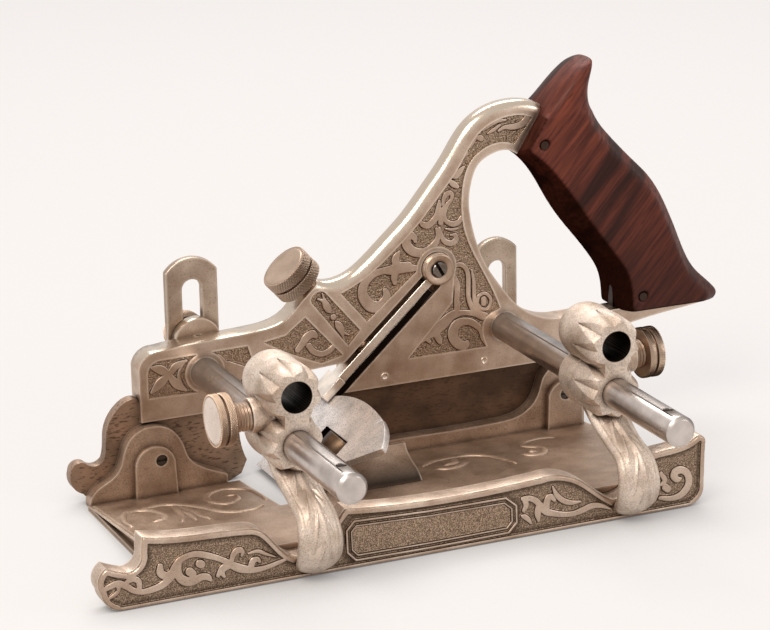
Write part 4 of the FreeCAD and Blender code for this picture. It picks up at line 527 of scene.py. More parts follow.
SPANDREL_SCROLLS = strokes("""
    103.1 104 0.7  105.3 104.9 1  108.1 104.7 1.3  111 105.1 1.5  113.1 106.5 1.6  113.3 108.8 1.3
    111.7 110.1 0.9  109.9 110.1 0.6 /
    97.4 104.6 0.5  99.9 106 0.8  102.8 107.2 0.9  105.6 107.3 0.7 /
    99.2 103.5 0.5  101.3 104.5 0.9  103.5 105.8 0.8 /
    96.2 102.5 1.3  96.9 102.2 1.3 /
    86.3 95.4 0.8  88.8 98.1 1.5  91 100 1.8  93.1 101.5 1.7  94.7 102.8 1 /
    90.6 93.6 0.7  88.9 92 1.4  87.5 91 1.4  86.3 91.8 0.8 /
    87.7 94.6 1  89.5 96.5 1.3  91.3 98.1 1.2 /
    85.7 89.3 1  86.9 88.3 1.35  88.2 87.3 1 /
    83 82 0.8  83.4 83.9 1  84.4 85.3 1.2  85.7 85.6 1.1  86.4 84.5 1  85.8 83 0.9  84.6 81.8 1.1
    83.5 80.3 1.4  83.3 78.3 1.2  84.3 76.3 1.1  86.4 75.2 1.3  88.6 75.6 1.2  89.6 77.2 0.8 /
    81.8 83.5 0.7  81.5 81.2 1.2  81 78.9 1.4  79.7 77.1 1.4  77.8 75.9 1.5  75.8 76.4 1.2  75 78 0.7 /
    82.2 80.4 1  82.2 76.1 1.2 /
    81.8 74.5 0.7  82.3 72.1 1  83.5 69.9 1.2  85.6 68.8 1.3  87.4 69.6 1.3  87.3 71.3 1
    85.8 71.6 0.7 /
    80.7 74.3 0.8  81.1 71.9 1.1  80.3 69.7 1.4  78.2 67.8 1.7  75.3 67 1.8  72.3 67.9 1.9
    70.3 70 1.9  70 72.2 1.9  71.4 73.5 1.6  72.9 72.3 1.3  73.1 71 0.8 /
    83.9 73.9 0.6  86 73.3 0.8  88.2 73.5 0.7 /
    74.2 62.2 1.2  71.4 62.4 1.6  68.2 63 2.2  65 62.7 2  61.9 62.8 1.5  58.7 62.3 1.6  56.3 60.9 1.8
    54.8 58.8 1.9  54.4 56.5 2  55.2 54.1 2.2  57.1 51.8 2.3  59.6 51.1 2.2  61.7 52.2 2
    62.8 54.2 1.7  62.3 56.1 1.2 /
    67.2 63.1 1.6  66.1 65.3 1.7  66.4 66.9 1.4  67.6 68.6 0.6 /
    68.9 62.9 1.2  70 64.1 1  71.6 64 0.5 /
    66.1 61.9 1.6  65.5 60 1.4  65.7 58.3 1.1 /
    85.1 59.7 0.7  86.9 61.1 1  89.1 61.2 1.1  90.9 59.7 1.1  91.7 57.1 1.1  91.7 53.4 1.1
    91.8 49.6 1.1  93 46.1 1.2  95 43.4 1.3  97.9 41.6 1.2 /
    86.7 57.4 1.2  87.6 54.6 1.4  87.7 51.9 1.3  87.5 49.2 1.3  87.7 46.8 1.4 /
    94.7 47.5 0.9  95.4 49.6 0.9  97.4 50.4 0.9  99.4 48.9 0.9  99.7 46.8 0.9  98.5 45 0.9
    96.3 45.3 0.9  94.7 47.5 0.9 /
    97.2 48.4 1.3  97.2 47 1.3 /
    93 58.9 0.7  93.7 55.1 0.9  93.8 51.4 1  94 47.6 1  95.4 44.4 1  98.3 43.1 0.8 /
    68.4 33 0.8  72 36.2 1.3  75.6 38.7 1.9  79.2 40.2 2.3  82.4 42.1 2.3  85.3 44.4 1.8
    87.5 45.5 1.2 /
    79.9 39.5 1.6  80.9 37.3 1.4  81.4 35.8 0.9 /
    76.3 38.3 1.2  77.7 36.7 0.9 /
    83.5 43 1.5  86 44.3 1.5  89.3 44.9 1.3  92.8 44.2 1.2  96.1 42.6 1 /
    98.5 32.6 1  96.7 35.3 1  96 38.1 1.2  93.5 40.7 1.5  90.7 41.8 1.6  87.8 41.4 1.9  86.1 39.2 2.1
    86.3 36.8 2.1  88 34.5 2  90 33.5 1.8  91.1 34.4 1.2 /
    96.4 37.4 1  98.2 34 1.2  100.3 32.4 1.2  102.5 32 0.8""")
LEFT_VINE = strokes("""
    -66 6.6 0.8  -63.9 7.4 1  -61.5 8.2 1.2  -59.1 8.7 1.3  -56.7 7.3 1.3  -54.7 5.7 1.2  -52 4.8 1.2
    -49 5 1.3  -46.2 5.7 1.4  -44.1 7.1 1.5  -42.8 8.7 1.7  -41.8 10.7 1.5  -40.5 12.3 1.3
    -38 13.3 1.2  -35.3 13.4 1.3  -32.2 12.4 1.3  -29.2 11.1 1.2  -26.5 9.5 1.2  -24.1 7.7 1.5
    -21.7 6.4 1.6  -18.6 5.4 1.3  -15.2 5.3 1.1  -12 5.8 1  -9.2 6.5 0.9  -7.3 6.9 0.6 /
    -42.8 8.7 1.6  -44.9 8.4 1.5  -46.4 9.7 1.5  -46.4 11.6 1.2 /
    -40.8 11.2 1.2  -41.2 9.4 1.5  -40.6 7.1 1.6  -38.6 5.5 1.7  -36.2 5.4 1.6  -34 6.1 1.4
    -32.2 5.7 1.3  -31.2 4.6 0.8 /
    -37.6 8.4 1.6  -36.7 7.5 1.5 /
    -34.5 10.3 1.5  -33.9 9.9 1.5 /
    -29 5.6 0.9  -27.8 7.1 1.4  -26.3 8 1.5  -24.7 8.2 1.3 /
    -27.9 6.6 1.2  -27.1 4.9 0.8 /
    -24.7 9.2 1  -24 11.3 1.2  -22.4 12.3 1.3  -21.2 11.5 1  -21.5 10.4 0.7 /
    -18.9 5.9 1.3  -18.2 8 1.3  -16.8 8.5 1.1  -16 7.6 0.8 /
    -19.4 10.7 0.6  -16.5 10.9 0.9  -13.8 9.5 0.8  -11 8.2 0.5 /
    -56.4 8.8 1  -54.5 9.2 1.2  -53.1 8.2 1.2  -52.9 6.3 1.1 /
    -63.5 4.3 0.5  -61 5.1 0.8  -59.2 6.5 0.9  -59.4 8.1 0.9""")
MIDDLE_SCROLL = strokes("""
    69 12.4 0.9  70.2 12.3 1.2  71.6 12.1 1.2  73.8 10.7 1.3  75.5 8.5 1.4  77.1 6.9 1.5  79.5 5.9 1.3
    82.9 5 1.2  86.3 4.7 1.2  89.7 5.4 1.3  92.5 6.1 1.3  95.6 5.7 1.1  98.7 4.2 0.7 /
    69.6 12.3 1.2  70.2 10.2 1.2  69.4 8.6 0.9 /
    68.9 6.9 0.8  69.6 6.6 1.1  70.8 5.6 1.1  71.8 4.1 0.7 /
    74.5 9.7 1.2  74.1 7.1 1.4  74.4 4.5 0.8 /
    77.1 7.6 1.3  77.2 10.2 1.4  78.3 11.6 1.2  79.7 10.2 0.9 /
    79.2 14.6 0.6  80.5 11.8 1.1  82.6 9.6 1.2  85.3 8.4 1.1  88.7 8.2 0.6""")
CARTOUCHE = [(14.3, 2.5), (11.7, 5.3), (11.5, 12.2), (14.0, 14.8), (38.6, 13.8), (63.4, 13.6),
             (66.9, 10.6), (67.0, 5.2), (64.4, 2.4), (38.5, 2.2)]
CARTOUCHE_INNER = [(14.9, 4.0), (13.2, 5.9), (13.0, 11.6), (14.6, 13.3), (38.6, 12.3), (62.9, 12.1),
                   (65.4, 9.9), (65.5, 5.8), (63.8, 3.9), (38.5, 3.7)]
CARTOUCHE_RIMS = [[(*a, r), (*b, r)] for line, r in ((CARTOUCHE, 0.62), (CARTOUCHE_INNER, 0.5))
                  for a, b in zip(line, line[1:] + line[:1])]
END_SCROLL = strokes("""
    116 4.6 0.9  119.9 3.8 1.2  123.1 4.3 1.4  125.2 5.9 1.5  126.2 8.3 1.5  125.6 11 1.5
    123.7 12.5 1.5  121.7 12.5 1.6  120.9 11.2 1.6  122 9.7 1.3  123.4 9.8 0.7 /
    117.9 7.9 1.5  118.8 7.1 1.5 /
    116.3 12.6 1  117.7 10.2 1.2  116.4 9 0.9""")

# %% Panel builder, in millimetres
GROUND_DEPTH = 0.7
TOP_DEPTH = 0.05
PANEL_CELL, SHEET_CELL = 0.18, 0.2
SHOULDER = 0.42
PEBBLE = 0.6


def smooth_path(points, step=0.22):
    """Catmull-Rom samples through (a, b, radius) points."""
    points = np.array(points, float)
    ends = np.vstack([2 * points[0] - points[1], points, 2 * points[-1] - points[-2]])
    samples = []
    for k in range(1, len(ends) - 2):
        p0, p1, p2, p3 = ends[k - 1:k + 3]
        count = max(2, int(np.linalg.norm(p2[:2] - p1[:2]) / step))
        t = np.linspace(0, 1, count, endpoint=False)[:, None]
        samples.append(0.5 * (2 * p1 + (p2 - p0) * t + (2 * p0 - 5 * p1 + 4 * p2 - p3) * t ** 2
                              + (3 * p1 - p0 - 3 * p2 + p3) * t ** 3))
    return np.vstack(samples + [points[-1:]])


def scroll_level(scrolls, across, up):
    """0 on the ground, 1 on a scroll's flat top, with a shoulder between."""
    level = np.zeros_like(across)
    for stroke in scrolls:
        path = smooth_path(stroke)
        near = ((across > path[:, 0].min() - 4) & (across < path[:, 0].max() + 4)
                & (up > path[:, 1].min() - 4) & (up < path[:, 1].max() + 4))
        a, b = across[near], up[near]
        edge = np.full(a.shape, 9.0)
        for x, z, radius in path:
            edge = np.minimum(edge, np.hypot(a - x, b - z) - max(radius - 0.22, 0.3))
        t = np.clip(0.5 - edge / SHOULDER, 0, 1)
        level[near] = np.maximum(level[near], t * t * (3 - 2 * t))
    return level


def pebbles(across, up, seed):
    """Height of a field of small domes, one in each jittered cell."""
    rng = np.random.default_rng(seed)
    jitter = rng.random((512, 512, 3))
    cell_a = np.floor(across / PEBBLE).astype(int)
    cell_b = np.floor(up / PEBBLE).astype(int)
    height = np.zeros_like(across)
    for da in (-1, 0, 1):
        for db in (-1, 0, 1):
            pick = jitter[(cell_a + da) % 512, (cell_b + db) % 512]
            mid_a = (cell_a + da + 0.2 + 0.6 * pick[..., 0]) * PEBBLE
            mid_b = (cell_b + db + 0.2 + 0.6 * pick[..., 1]) * PEBBLE
            radius = PEBBLE * (0.42 + 0.2 * pick[..., 2])
            inside = 1 - (np.hypot(across - mid_a, up - mid_b) / radius) ** 2
            height = np.maximum(height, np.sqrt(np.clip(inside, 0, None)))
    return height


def grid_mesh(name, points, keep, rise):
    """A mesh of the grid cells whose four corners are kept, with its attribute rise."""
    index = np.full(keep.shape, -1)
    index[keep] = np.arange(keep.sum())
    whole = keep[:-1, :-1] & keep[1:, :-1] & keep[:-1, 1:] & keep[1:, 1:]
    r, c = np.nonzero(whole)
    faces = np.stack([index[r, c], index[r + 1, c], index[r + 1, c + 1], index[r, c + 1]], 1)
    item = new_piece(name, points[keep].tolist(), faces.tolist(), NICKEL_RELIEF)
    height = item.data.attributes.new("rise", "FLOAT", "POINT")
    height.data.foreach_set("value", rise[keep].astype(np.float32))
    print(name, len(item.data.polygons), "faces")
    return item


def tree_of(node):
    """A ray-casting tree of a CAD node as it came."""
    mesh = NODES[node].data
    return BVHTree.FromPolygons([v.co.copy() for v in mesh.vertices],
                                [tuple(p.vertices) for p in mesh.polygons])


def panel(name, tree, scrolls, window, face_y, into):
    """A relief in every sunk, flat part of a window (x low, x high, z low, z high) of a face."""
    x0, x1, z0, z1 = window
    xs, zs = np.arange(x0, x1, PANEL_CELL), np.arange(z0, z1, PANEL_CELL)
    across, up = np.meshgrid(xs, zs, indexing="ij")
    sunk = np.zeros(across.shape, bool)
    way = Vector((0, into, 0))
    for i in range(0, len(xs), 2):
        for j in range(0, len(zs), 2):
            hit = tree.ray_cast(at(xs[i], face_y - into * 3, zs[j]), way, 0.006)
            if hit[0] is not None:
                depth = into * ((hit[0].y - ORIGIN.y) / MM - face_y)
                if 0.3 < depth < 1.2 and abs(hit[1].y) > 0.97:
                    sunk[i:i + 2, j:j + 2] = True
    grown = sunk.copy()
    for shift in (1, 2):
        grown[shift:] |= sunk[:-shift]
        grown[:-shift] |= sunk[shift:]
        grown[:, shift:] |= sunk[:, :-shift]
        grown[:, :-shift] |= sunk[:, shift:]
    level = scroll_level(scrolls, across, up)
    ground = pebbles(across, up, seed=7)
    low = GROUND_DEPTH - 0.03 - 0.18 * ground
    depth = low + (TOP_DEPTH - low) * level
    # rise also sets the tone: low spots of the pebbling and the scrolls' shoulders get painted shade
    rise = np.clip(level + (0.12 + 0.10 * ground) * (1 - level), 0, 1)
    points = np.stack([across * MM + ORIGIN.x, (face_y + into * depth) * MM + ORIGIN.y, up * MM], -1)
    item = grid_mesh(name, points, grown, rise)
    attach(item, "stock")


# %% Panels of the stock, near and far
STOCK_TREE = tree_of("main_stock")
STOCK_SCROLLS = BLOCK_LEAVES + TRIANGLE_CURL + BAND_TULIPS + SPANDREL_SCROLLS
for side, face_y, into in (("near", 0.0, 1), ("far", STOCK_THICKNESS, -1)):
    panel(f"stock_scrolls_{side}", STOCK_TREE, STOCK_SCROLLS, (-21, 118, 30, 111), face_y, into)

# %% [markdown]
# ## The fence's ornamented face
# On the fence a rim follows the whole outline, and vine, cartouche and end scroll stand up from the
# CAD face in one continuous pebbled ground. The outline is read from that face, and the distance to
# it gives the rim. The long cartouche stays bare inside its double rim.

# %% Outline of a flat face
def face_outline(node, y_mm):
    """The longest closed edge of the flat face at y, as an (n, 2) array in mm."""
    mesh = NODES[node].data
    edges = {}
    for side in mesh.polygons:
        spots = [mesh.vertices[k].co for k in side.vertices]
        flat = [(round((p.x - ORIGIN.x) / MM, 3), round(p.z / MM, 3)) for p in spots]
        if side.normal.y < -0.99 and all(abs((p.y - ORIGIN.y) / MM - y_mm) < 0.01 for p in spots):
            for k, spot in enumerate(flat):
                edge = (spot, flat[(k + 1) % len(flat)])
                if not edges.pop(edge[::-1], 0):
                    edges[edge] = 1
    loops, left = [], dict(list(edges))
    while left:
        start, spot = next(iter(left.items()))
        loop = [start]
        while spot != start and spot in left:
            loop.append(spot)
            spot = left.pop(spot)
        left.pop(start, None)
        loops.append(np.array(loop))
    return max(loops, key=lambda loop: np.ptp(loop[:, 0]) + len(loop) * 1e-6)


def inside_distance(outline, across, up):
    """Distance in mm to the outline, negative outside it."""
    far = np.full(across.shape, 99.0)
    crossings = np.zeros(across.shape, bool)
    for (x0, z0), (x1, z1) in zip(outline, np.roll(outline, -1, axis=0)):
        length = (x1 - x0) ** 2 + (z1 - z0) ** 2
        if length == 0:
            continue
        t = np.clip(((across - x0) * (x1 - x0) + (up - z0) * (z1 - z0)) / length, 0, 1)
        far = np.minimum(far, np.hypot(across - x0 - t * (x1 - x0), up - z0 - t * (z1 - z0)))
        if z0 != z1:
            cut = x0 + (up - z0) * (x1 - x0) / (z1 - z0)
            crossings ^= ((z0 > up) != (z1 > up)) & (across < cut)
    return np.where(crossings, far, -far)


# %% Sheets of the face, parted under the arms
OUTLINE = face_outline("fence", FENCE_FACE)
print("outline of the fence's face:", len(OUTLINE), "points")


def step(value, low, high):
    """0 below a stretch and 1 above it, with a soft rise between."""
    t = np.clip((value - low) / (high - low), 0, 1)
    return t * t * (3 - 2 * t)


def make_fence_sheet(name, scrolls, low_x, high_x):
    """One sheet of the face: its rim, its scrolls, and a ground with painted shade beside the rims."""
    xs, zs = np.arange(low_x, high_x, SHEET_CELL), np.arange(0.05, 23.0, SHEET_CELL)
    across, up = np.meshgrid(xs, zs, indexing="ij")
    depth = inside_distance(OUTLINE, across, up)
    width = np.where(up < depth + 0.15, 1.45, 1.9)
    rim = step(depth, 0.12, 0.4) * (1 - step(depth, width - 0.3, width + 0.1))
    level = np.maximum(rim, scroll_level(scrolls, across, up))
    level *= step(depth, 0.12, 0.4)
    ground = pebbles(across, up, seed=11)
    proud = 0.01 + step(depth, 0.12, 0.4) * (0.02 + 0.10 * ground * (1 - level) + 0.72 * level)
    # Painted shade: the ground beside the rims and just outside the cartouche is painted darker
    unshaded_ground = 0.15 + 0.65 * step(depth, width, width + 1.8)
    framed = inside_distance(np.array(CARTOUCHE_INNER), across, up)
    unshaded_ground = np.where(framed > 0, 1.0, unshaded_ground * (1 - 0.75 * step(framed, -4.0, -2.4)))
    rise = np.clip(level + (0.12 + 0.10 * ground) * unshaded_ground * (1 - level), 0, 1)
    rise = np.where(depth < 0.4, 1.0, rise)
    points = np.stack([across * MM + ORIGIN.x, (FENCE_FACE - proud) * MM + ORIGIN.y, up * MM], -1)
    item = grid_mesh(name, points, depth > 0.05, rise)
    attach(item, "fence_casting")


make_fence_sheet("fence_vine", LEFT_VINE, -66, 0.0)
make_fence_sheet("fence_cartouche", MIDDLE_SCROLL + CARTOUCHE_RIMS, 0.0, 104.8)
make_fence_sheet("fence_end_scroll", END_SCROLL, 104.8, 133)

# %% [markdown]
# ## Raised foliage on the bed
# The table of the bed slopes up to the fence and carries raised stems of foliage. Each stem is a
# half-round rib laid along a curve on the sloping plane.

# %% Ribs laid along a path
def rib(points, normal, widths, height, segments=8):
    """Vertices and faces of a half-round rib along a path; widths are half widths in mm."""
    vertices, faces = [], []
    for k, point in enumerate(points):
        ahead = points[min(k + 1, len(points) - 1)] - points[max(k - 1, 0)]
        ahead.normalize()
        side = normal.cross(ahead).normalized()
        taper = min(1.0, 0.25 + min(k, len(points) - 1 - k) * 0.35)
        for s in range(segments + 1):
            angle = math.pi * s / segments
            vertices.append(point + side * math.cos(angle) * widths[k] * MM * (0.5 + 0.5 * taper)
                            + normal * (math.sin(angle) * height * taper - 0.12) * MM)
    ring = segments + 1
    for k in range(len(points) - 1):
        for s in range(segments):
            a = k * ring + s
            faces.append((a, a + 1, a + ring + 1, a + ring))
    return vertices, faces


def solid_piece(name, parts, material, smooth=True):
    """One object made of several (vertices, faces) parts."""
    vertices, faces = [], []
    for more, sides in parts:
        start = len(vertices)
        vertices += [tuple(v) for v in more]
        faces += [tuple(start + k for k in side) for side in sides]
    return new_piece(name, vertices, faces, material, smooth)


def tube_faces(rings, around):
    """The faces that join rings of as many points each."""
    return [(k + s, k + (s + 1) % around, k + around + (s + 1) % around, k + around + s)
            for k in range(0, (rings - 1) * around, around) for s in range(around)]


# The sloping table is 1.6 mm thick at the stock and 8.8 mm at the fence
BED_SLOPE = 7.2 / 74.2
BED_NORMAL = Vector((0, BED_SLOPE, 1)).normalized()


BED_LEAVES = strokes("""
    -37.7 -34.4 0.6  -37.9 -27.8 0.9  -35.5 -19.7 1  -31.5 -17.5 1  -27.6 -19.2 1  -25.7 -23.2 0.9
    -24.9 -28.7 0.9  -27.3 -32 0.8  -30.6 -32.3 0.6 /
    -30 -17.4 0.6  -24.3 -16.2 0.9  -19.4 -16.9 1  -15.2 -21.2 1  -11.6 -27.1 1  -9 -33.6 0.9
    -4.4 -37.2 0.9  0.5 -37.6 0.7  5 -34.5 0.5 /
    -19.1 -18.8 0.9  -19.7 -25.8 1  -20.8 -32.9 0.7  -22.8 -37.5 0.4 /
    -17.8 -20.8 0.9  -16.2 -28.8 1  -16 -34.9 0.7  -14.4 -39.5 0.4 /
    -19.2 -26 0.6  -18.4 -32 0.8  -18.6 -38.5 0.4 /
    7.6 -30 0.5  8 -22.3 0.7  6.6 -14.4 0.8  1.8 -10.6 0.8  -3.6 -11.7 0.9  -7.2 -16.3 0.9
    -7.4 -22.4 0.9  -4.1 -26.7 0.8  0.1 -24.5 0.7  1.4 -19.8 0.6  -1.2 -17.6 0.5 /
    63.8 -22.8 0.6  68.6 -19.5 0.9  74 -18.3 1  80.3 -18.6 1  84.4 -20.6 1  87.4 -24.5 0.9
    89.2 -31 0.8  90.3 -37.6 0.5 /
    78.3 -26.5 0.6  73.4 -29.8 0.9  69.2 -30.2 0.8  66 -28 0.5 /
    76 -20 0.8  74.6 -24.6 0.9  70 -26 0.6 /
    96.5 -27.7 0.6  98.3 -30.7 0.9  102 -31.7 0.9  105.2 -27 0.9  104.7 -23.1 0.9  101.6 -19.1 0.9
    103.4 -15.3 0.9  109.2 -13.5 0.9  115.2 -15.4 0.6 /
    101.5 -24 0.5  100.6 -26.8 0.8  102.6 -28 0.5 /
    -40.2 -4.5 0.45  -40.2 -30 0.45  -40.2 -64 0.45""")


def make_bed_ribs():
    """A rib for each stem, on the slope between the stock and the fence."""
    parts = []
    for stroke in BED_LEAVES:
        path = smooth_path(stroke, 0.6)
        points = [at(x, y, 1.6 + (-3 - y) * BED_SLOPE) for x, y, _ in path]
        parts.append(rib(points, BED_NORMAL, [w * 1.25 for _, _, w in path], 0.62))
    item = solid_piece("bed_foliage", parts, NICKEL_FOLIAGE)
    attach(item, "stock")


make_bed_ribs()

# %% [markdown]
# ## Leaf-cut bosses and ribbed arms
# The two pairs of bosses on the fence are buds. Pointed notches cut back from the front rim leave a
# star of ridges, and each arm below is an acanthus leaf with a midrib and a rolled edge.

# %% Buds
# The boss's radius in mm as a curve over shares of its length from the front rim
BUD_CURVE = np.polyfit((0.0, 0.34, 0.66, 0.80, 1.0), (6.3, 8.2, 8.8, 8.73, 6.4), 4)
BUD_LENGTH = 25


def make_buds():
    """Eight ridges on each boss: a notch is widest at the rim and closes half way back."""
    petals, around, rings = 8, 192, 34
    parts = []
    for number, (x, z) in enumerate([(x, z) for x in ROD_X for z in BOSS_Z]):
        vertices = []
        turn = 0.26 if number % 2 else -0.13
        for k in range(rings + 1):
            t = k / rings * 0.97
            swell = 1.45 * max(0.0, 1 - t / 0.55) ** 0.8
            reach = max(1e-3, 1 - t / 0.47)
            for s in range(around):
                angle = 2 * math.pi * s / around
                share = ((angle + turn) * petals / (2 * math.pi)) % 1.0
                from_notch = abs(share - 0.5) * 2
                cut = min(1.0, from_notch / reach)
                radius = np.polyval(BUD_CURVE, t) + 0.06 + swell * cut
                vertices.append(at(x + radius * math.cos(angle), -76.52 + BUD_LENGTH * t,
                                   z + radius * math.sin(angle)))
        faces = tube_faces(rings + 1, around)
        start = len(vertices)
        for s in range(around):
            angle = 2 * math.pi * s / around
            vertices.append(at(x + 4.85 * math.cos(angle), -76.6, z + 4.85 * math.sin(angle)))
        for s in range(around):
            faces.append((s, start + s, start + (s + 1) % around, (s + 1) % around))
        parts.append((vertices, faces))
    item = solid_piece("leaf_cut_bosses", parts, NICKEL_LEAF, smooth=False)
    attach(item, "fence_casting")


make_buds()

# %% Arms, along a path of (y, z, share of the full width)
ARM_PATH = [(-59.25, 34.33, 0.80), (-70.18, 28.23, 0.92), (-78.93, 23.43, 0.86), (-86.85, 19.81, 0.90),
            (-89.87, 13.72, 1.00), (-88.15, 7.05, 0.98), (-82.42, 3.43, 0.72)]
# Ribs beside the midrib: place across the arm from -1 to 1, height in mm and half width
EDGE_RIBS = ((0.62, 0.55, 0.14), (0.90, 0.5, 0.10), (-0.86, 0.7, 0.14))


def make_arms():
    """Each arm's front is a leaf: a midrib, a rolled edge on both sides and veins between."""
    path = smooth_path(ARM_PATH, 0.5)
    parts = []
    for x in ROD_X:
        vertices = []
        around = 120
        for k, (y, z, spread) in enumerate(path):
            before, after = path[max(k - 1, 0)], path[min(k + 1, len(path) - 1)]
            heading = Vector((0, after[0] - before[0], after[1] - before[1])).normalized()
            outward = heading.cross(Vector((1, 0, 0)))
            run = k / (len(path) - 1)
            for s in range(around):
                angle = 2 * math.pi * s / around
                u = math.cos(angle)
                front = max(0.0, -math.sin(angle) * (1 if outward.y > 0 else -1))
                middle = -0.16 + 0.38 * run
                ribs = max(h * max(0.0, 1 - abs(u - c) / w)
                           for c, h, w in ((middle, 1.05, 0.20), *EDGE_RIBS))
                for root in (0.10, 0.26, 0.42, 0.58, 0.74):
                    grown = (run - root) / 0.22
                    if 0 < grown < 1:
                        for way in (-1, 1):
                            vein = middle + way * 0.62 * grown ** 0.8
                            sharp = max(0.0, 1 - abs(u - vein) / 0.10)
                            ribs = max(ribs, 0.62 * (1 - 0.5 * grown) * sharp)
                swell = 0.12 + front * (ribs - 0.10) * min(1.0, 3 * run) * min(1.0, 4 * (1 - run))
                place = (Vector((x + 0.8, y, z)) + Vector((1, 0, 0)) * u * (6.9 * spread + 0.12)
                         + outward * math.sin(angle) * (2.7 + swell))
                vertices.append(at(*place))
        parts.append((vertices, tube_faces(len(path), around)))
    item = solid_piece("leaf_arms", parts, NICKEL_LEAF, smooth=False)
    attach(item, "fence_casting")


make_arms()

# %% [markdown]
# ## Knurled heads and threads
# Each thumbscrew head has two bands of fine diamond knurling with a groove between them. A band is
# one small pyramid repeated in staggered rows round a cylinder, which is what Geometry Nodes are
# good at. The group's inputs set the radius, the width and the number of teeth.

# %% Knurled band as a node group
def knurl_group():
    """Small pyramids in staggered rows round a cylinder."""
    group = bpy.data.node_groups.new("Knurled band", "GeometryNodeTree")
    for name, kind in (("Radius", "Float"), ("Width", "Float"), ("Teeth", "Int"), ("Rows", "Int"),
                       ("Tooth", "Float"), ("Material", "Material")):
        group.interface.new_socket(name=name, in_out="INPUT", socket_type=f"NodeSocket{kind}")
    group.interface.new_socket(name="Geometry", in_out="OUTPUT", socket_type="NodeSocketGeometry")
    inside = add(group, "NodeGroupInput").outputs
    teeth, rows = inside["Teeth"], inside["Rows"]
    grid = add(group, "GeometryNodeMeshGrid", {"Size X": 1.0, "Size Y": 1.0, "Vertices X": teeth,
               "Vertices Y": rows})
    spot = add(group, "GeometryNodeInputPosition").outputs[0]
    row = calc(group, "MODULO", add(group, "GeometryNodeInputIndex").outputs[0], rows)
    shift = product(group, calc(group, "MODULO", row, 2.0), calc(group, "DIVIDE", 0.5, teeth))
    run = product(group, axis_of(group, spot, "X"),
                  calc(group, "DIVIDE", calc(group, "SUBTRACT", teeth, 1.0), teeth))
    turn = product(group, calc(group, "ADD", shift, run), 2 * math.pi)
    ring = [product(group, calc(group, wave, turn), inside["Radius"]) for wave in ("COSINE", "SINE")]
    along = product(group, axis_of(group, spot, "Y"), inside["Width"])
    bent = add(group, "GeometryNodeSetPosition", {"Geometry": grid.outputs["Mesh"], "Position":
               add(group, "ShaderNodeCombineXYZ", {0: ring[0], 1: ring[1], 2: along}).outputs[0]})
    out = add(group, "ShaderNodeCombineXYZ", {0: ring[0], 1: ring[1], 2: 0.0}).outputs[0]
    outward = add(group, "FunctionNodeAlignEulerToVector", {"Vector": out}, axis="Z")
    tooth = add(group, "GeometryNodeMeshCone", {"Vertices": 4, "Radius Top": 0.0,
                "Radius Bottom": inside["Tooth"], "Depth": inside["Tooth"]}, fill_type="NONE")
    spread = add(group, "GeometryNodeInstanceOnPoints", {"Points": bent.outputs[0],
                 "Instance": tooth.outputs["Mesh"], "Rotation": outward.outputs[0]})
    whole = add(group, "GeometryNodeRealizeInstances", {0: spread.outputs[0]})
    coated = add(group, "GeometryNodeSetMaterial", {"Geometry": whole.outputs[0],
                 "Material": inside["Material"]})
    add(group, "NodeGroupOutput", {0: coated.outputs[0]})
    return group


KNURL = knurl_group()
KNURL_PITCH = 0.72


def knurled_band(radius, width, middle, axis, body, name):
    """A knurled band about an axis through a point, turned into a plain mesh."""
    base = link("knurl_base", bpy.data.meshes.new("knurl_base"))
    change = base.modifiers.new("knurl", "NODES")
    change.node_group = KNURL
    names = {item.name: item.identifier for item in KNURL.interface.items_tree
             if item.in_out == "INPUT"}
    for key, value in (("Radius", radius * MM), ("Width", (width - 0.35) * MM),
                       ("Teeth", int(2 * math.pi * radius / KNURL_PITCH)),
                       ("Rows", max(2, int(round(width / (KNURL_PITCH * 0.5))))),
                       ("Tooth", KNURL_PITCH * 0.55 * MM), ("Material", THUMB_BRASS)):
        change[names[key]] = value
    base.update_tag()
    bpy.context.view_layer.update()
    evaluated = base.evaluated_get(bpy.context.evaluated_depsgraph_get())
    mesh = bpy.data.meshes.new_from_object(evaluated)
    bpy.data.objects.remove(base)
    frame_turn = Vector(axis).to_track_quat("Z", "Y").to_matrix().to_4x4()
    frame_turn.translation = middle
    mesh.transform(frame_turn)
    item = link(name, mesh)
    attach(item, body)


def lathe(name, profile, start, axis, material, body, wave=None):
    """A turned skin: (radius, along) pairs in mm from a start point along an axis."""
    around = 96
    turn = Vector(axis).to_track_quat("Z", "Y").to_matrix()
    vertices = []
    for radius, along in profile:
        for s in range(around):
            angle = 2 * math.pi * s / around
            swing = radius + (wave(along, angle) if wave else 0.0)
            vertices.append(start + turn @ Vector((swing * math.cos(angle), swing * math.sin(angle),
                                                   along)) * MM)
    item = solid_piece(name, [(vertices, tube_faces(len(profile), around))], material)
    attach(item, body)


# %% Heads and threads
SLOPE = math.radians(42)
SCREW_Z = sum(BOSS_Z) / 2
SCREW_Y = -65
THREAD_DEPTH, THREAD_PITCH = 0.42, 1.05


def thread(along, angle):
    """How far a screw thread stands out."""
    return THREAD_DEPTH * abs(((along / THREAD_PITCH - angle / (2 * math.pi)) % 1.0) * 2 - 1)


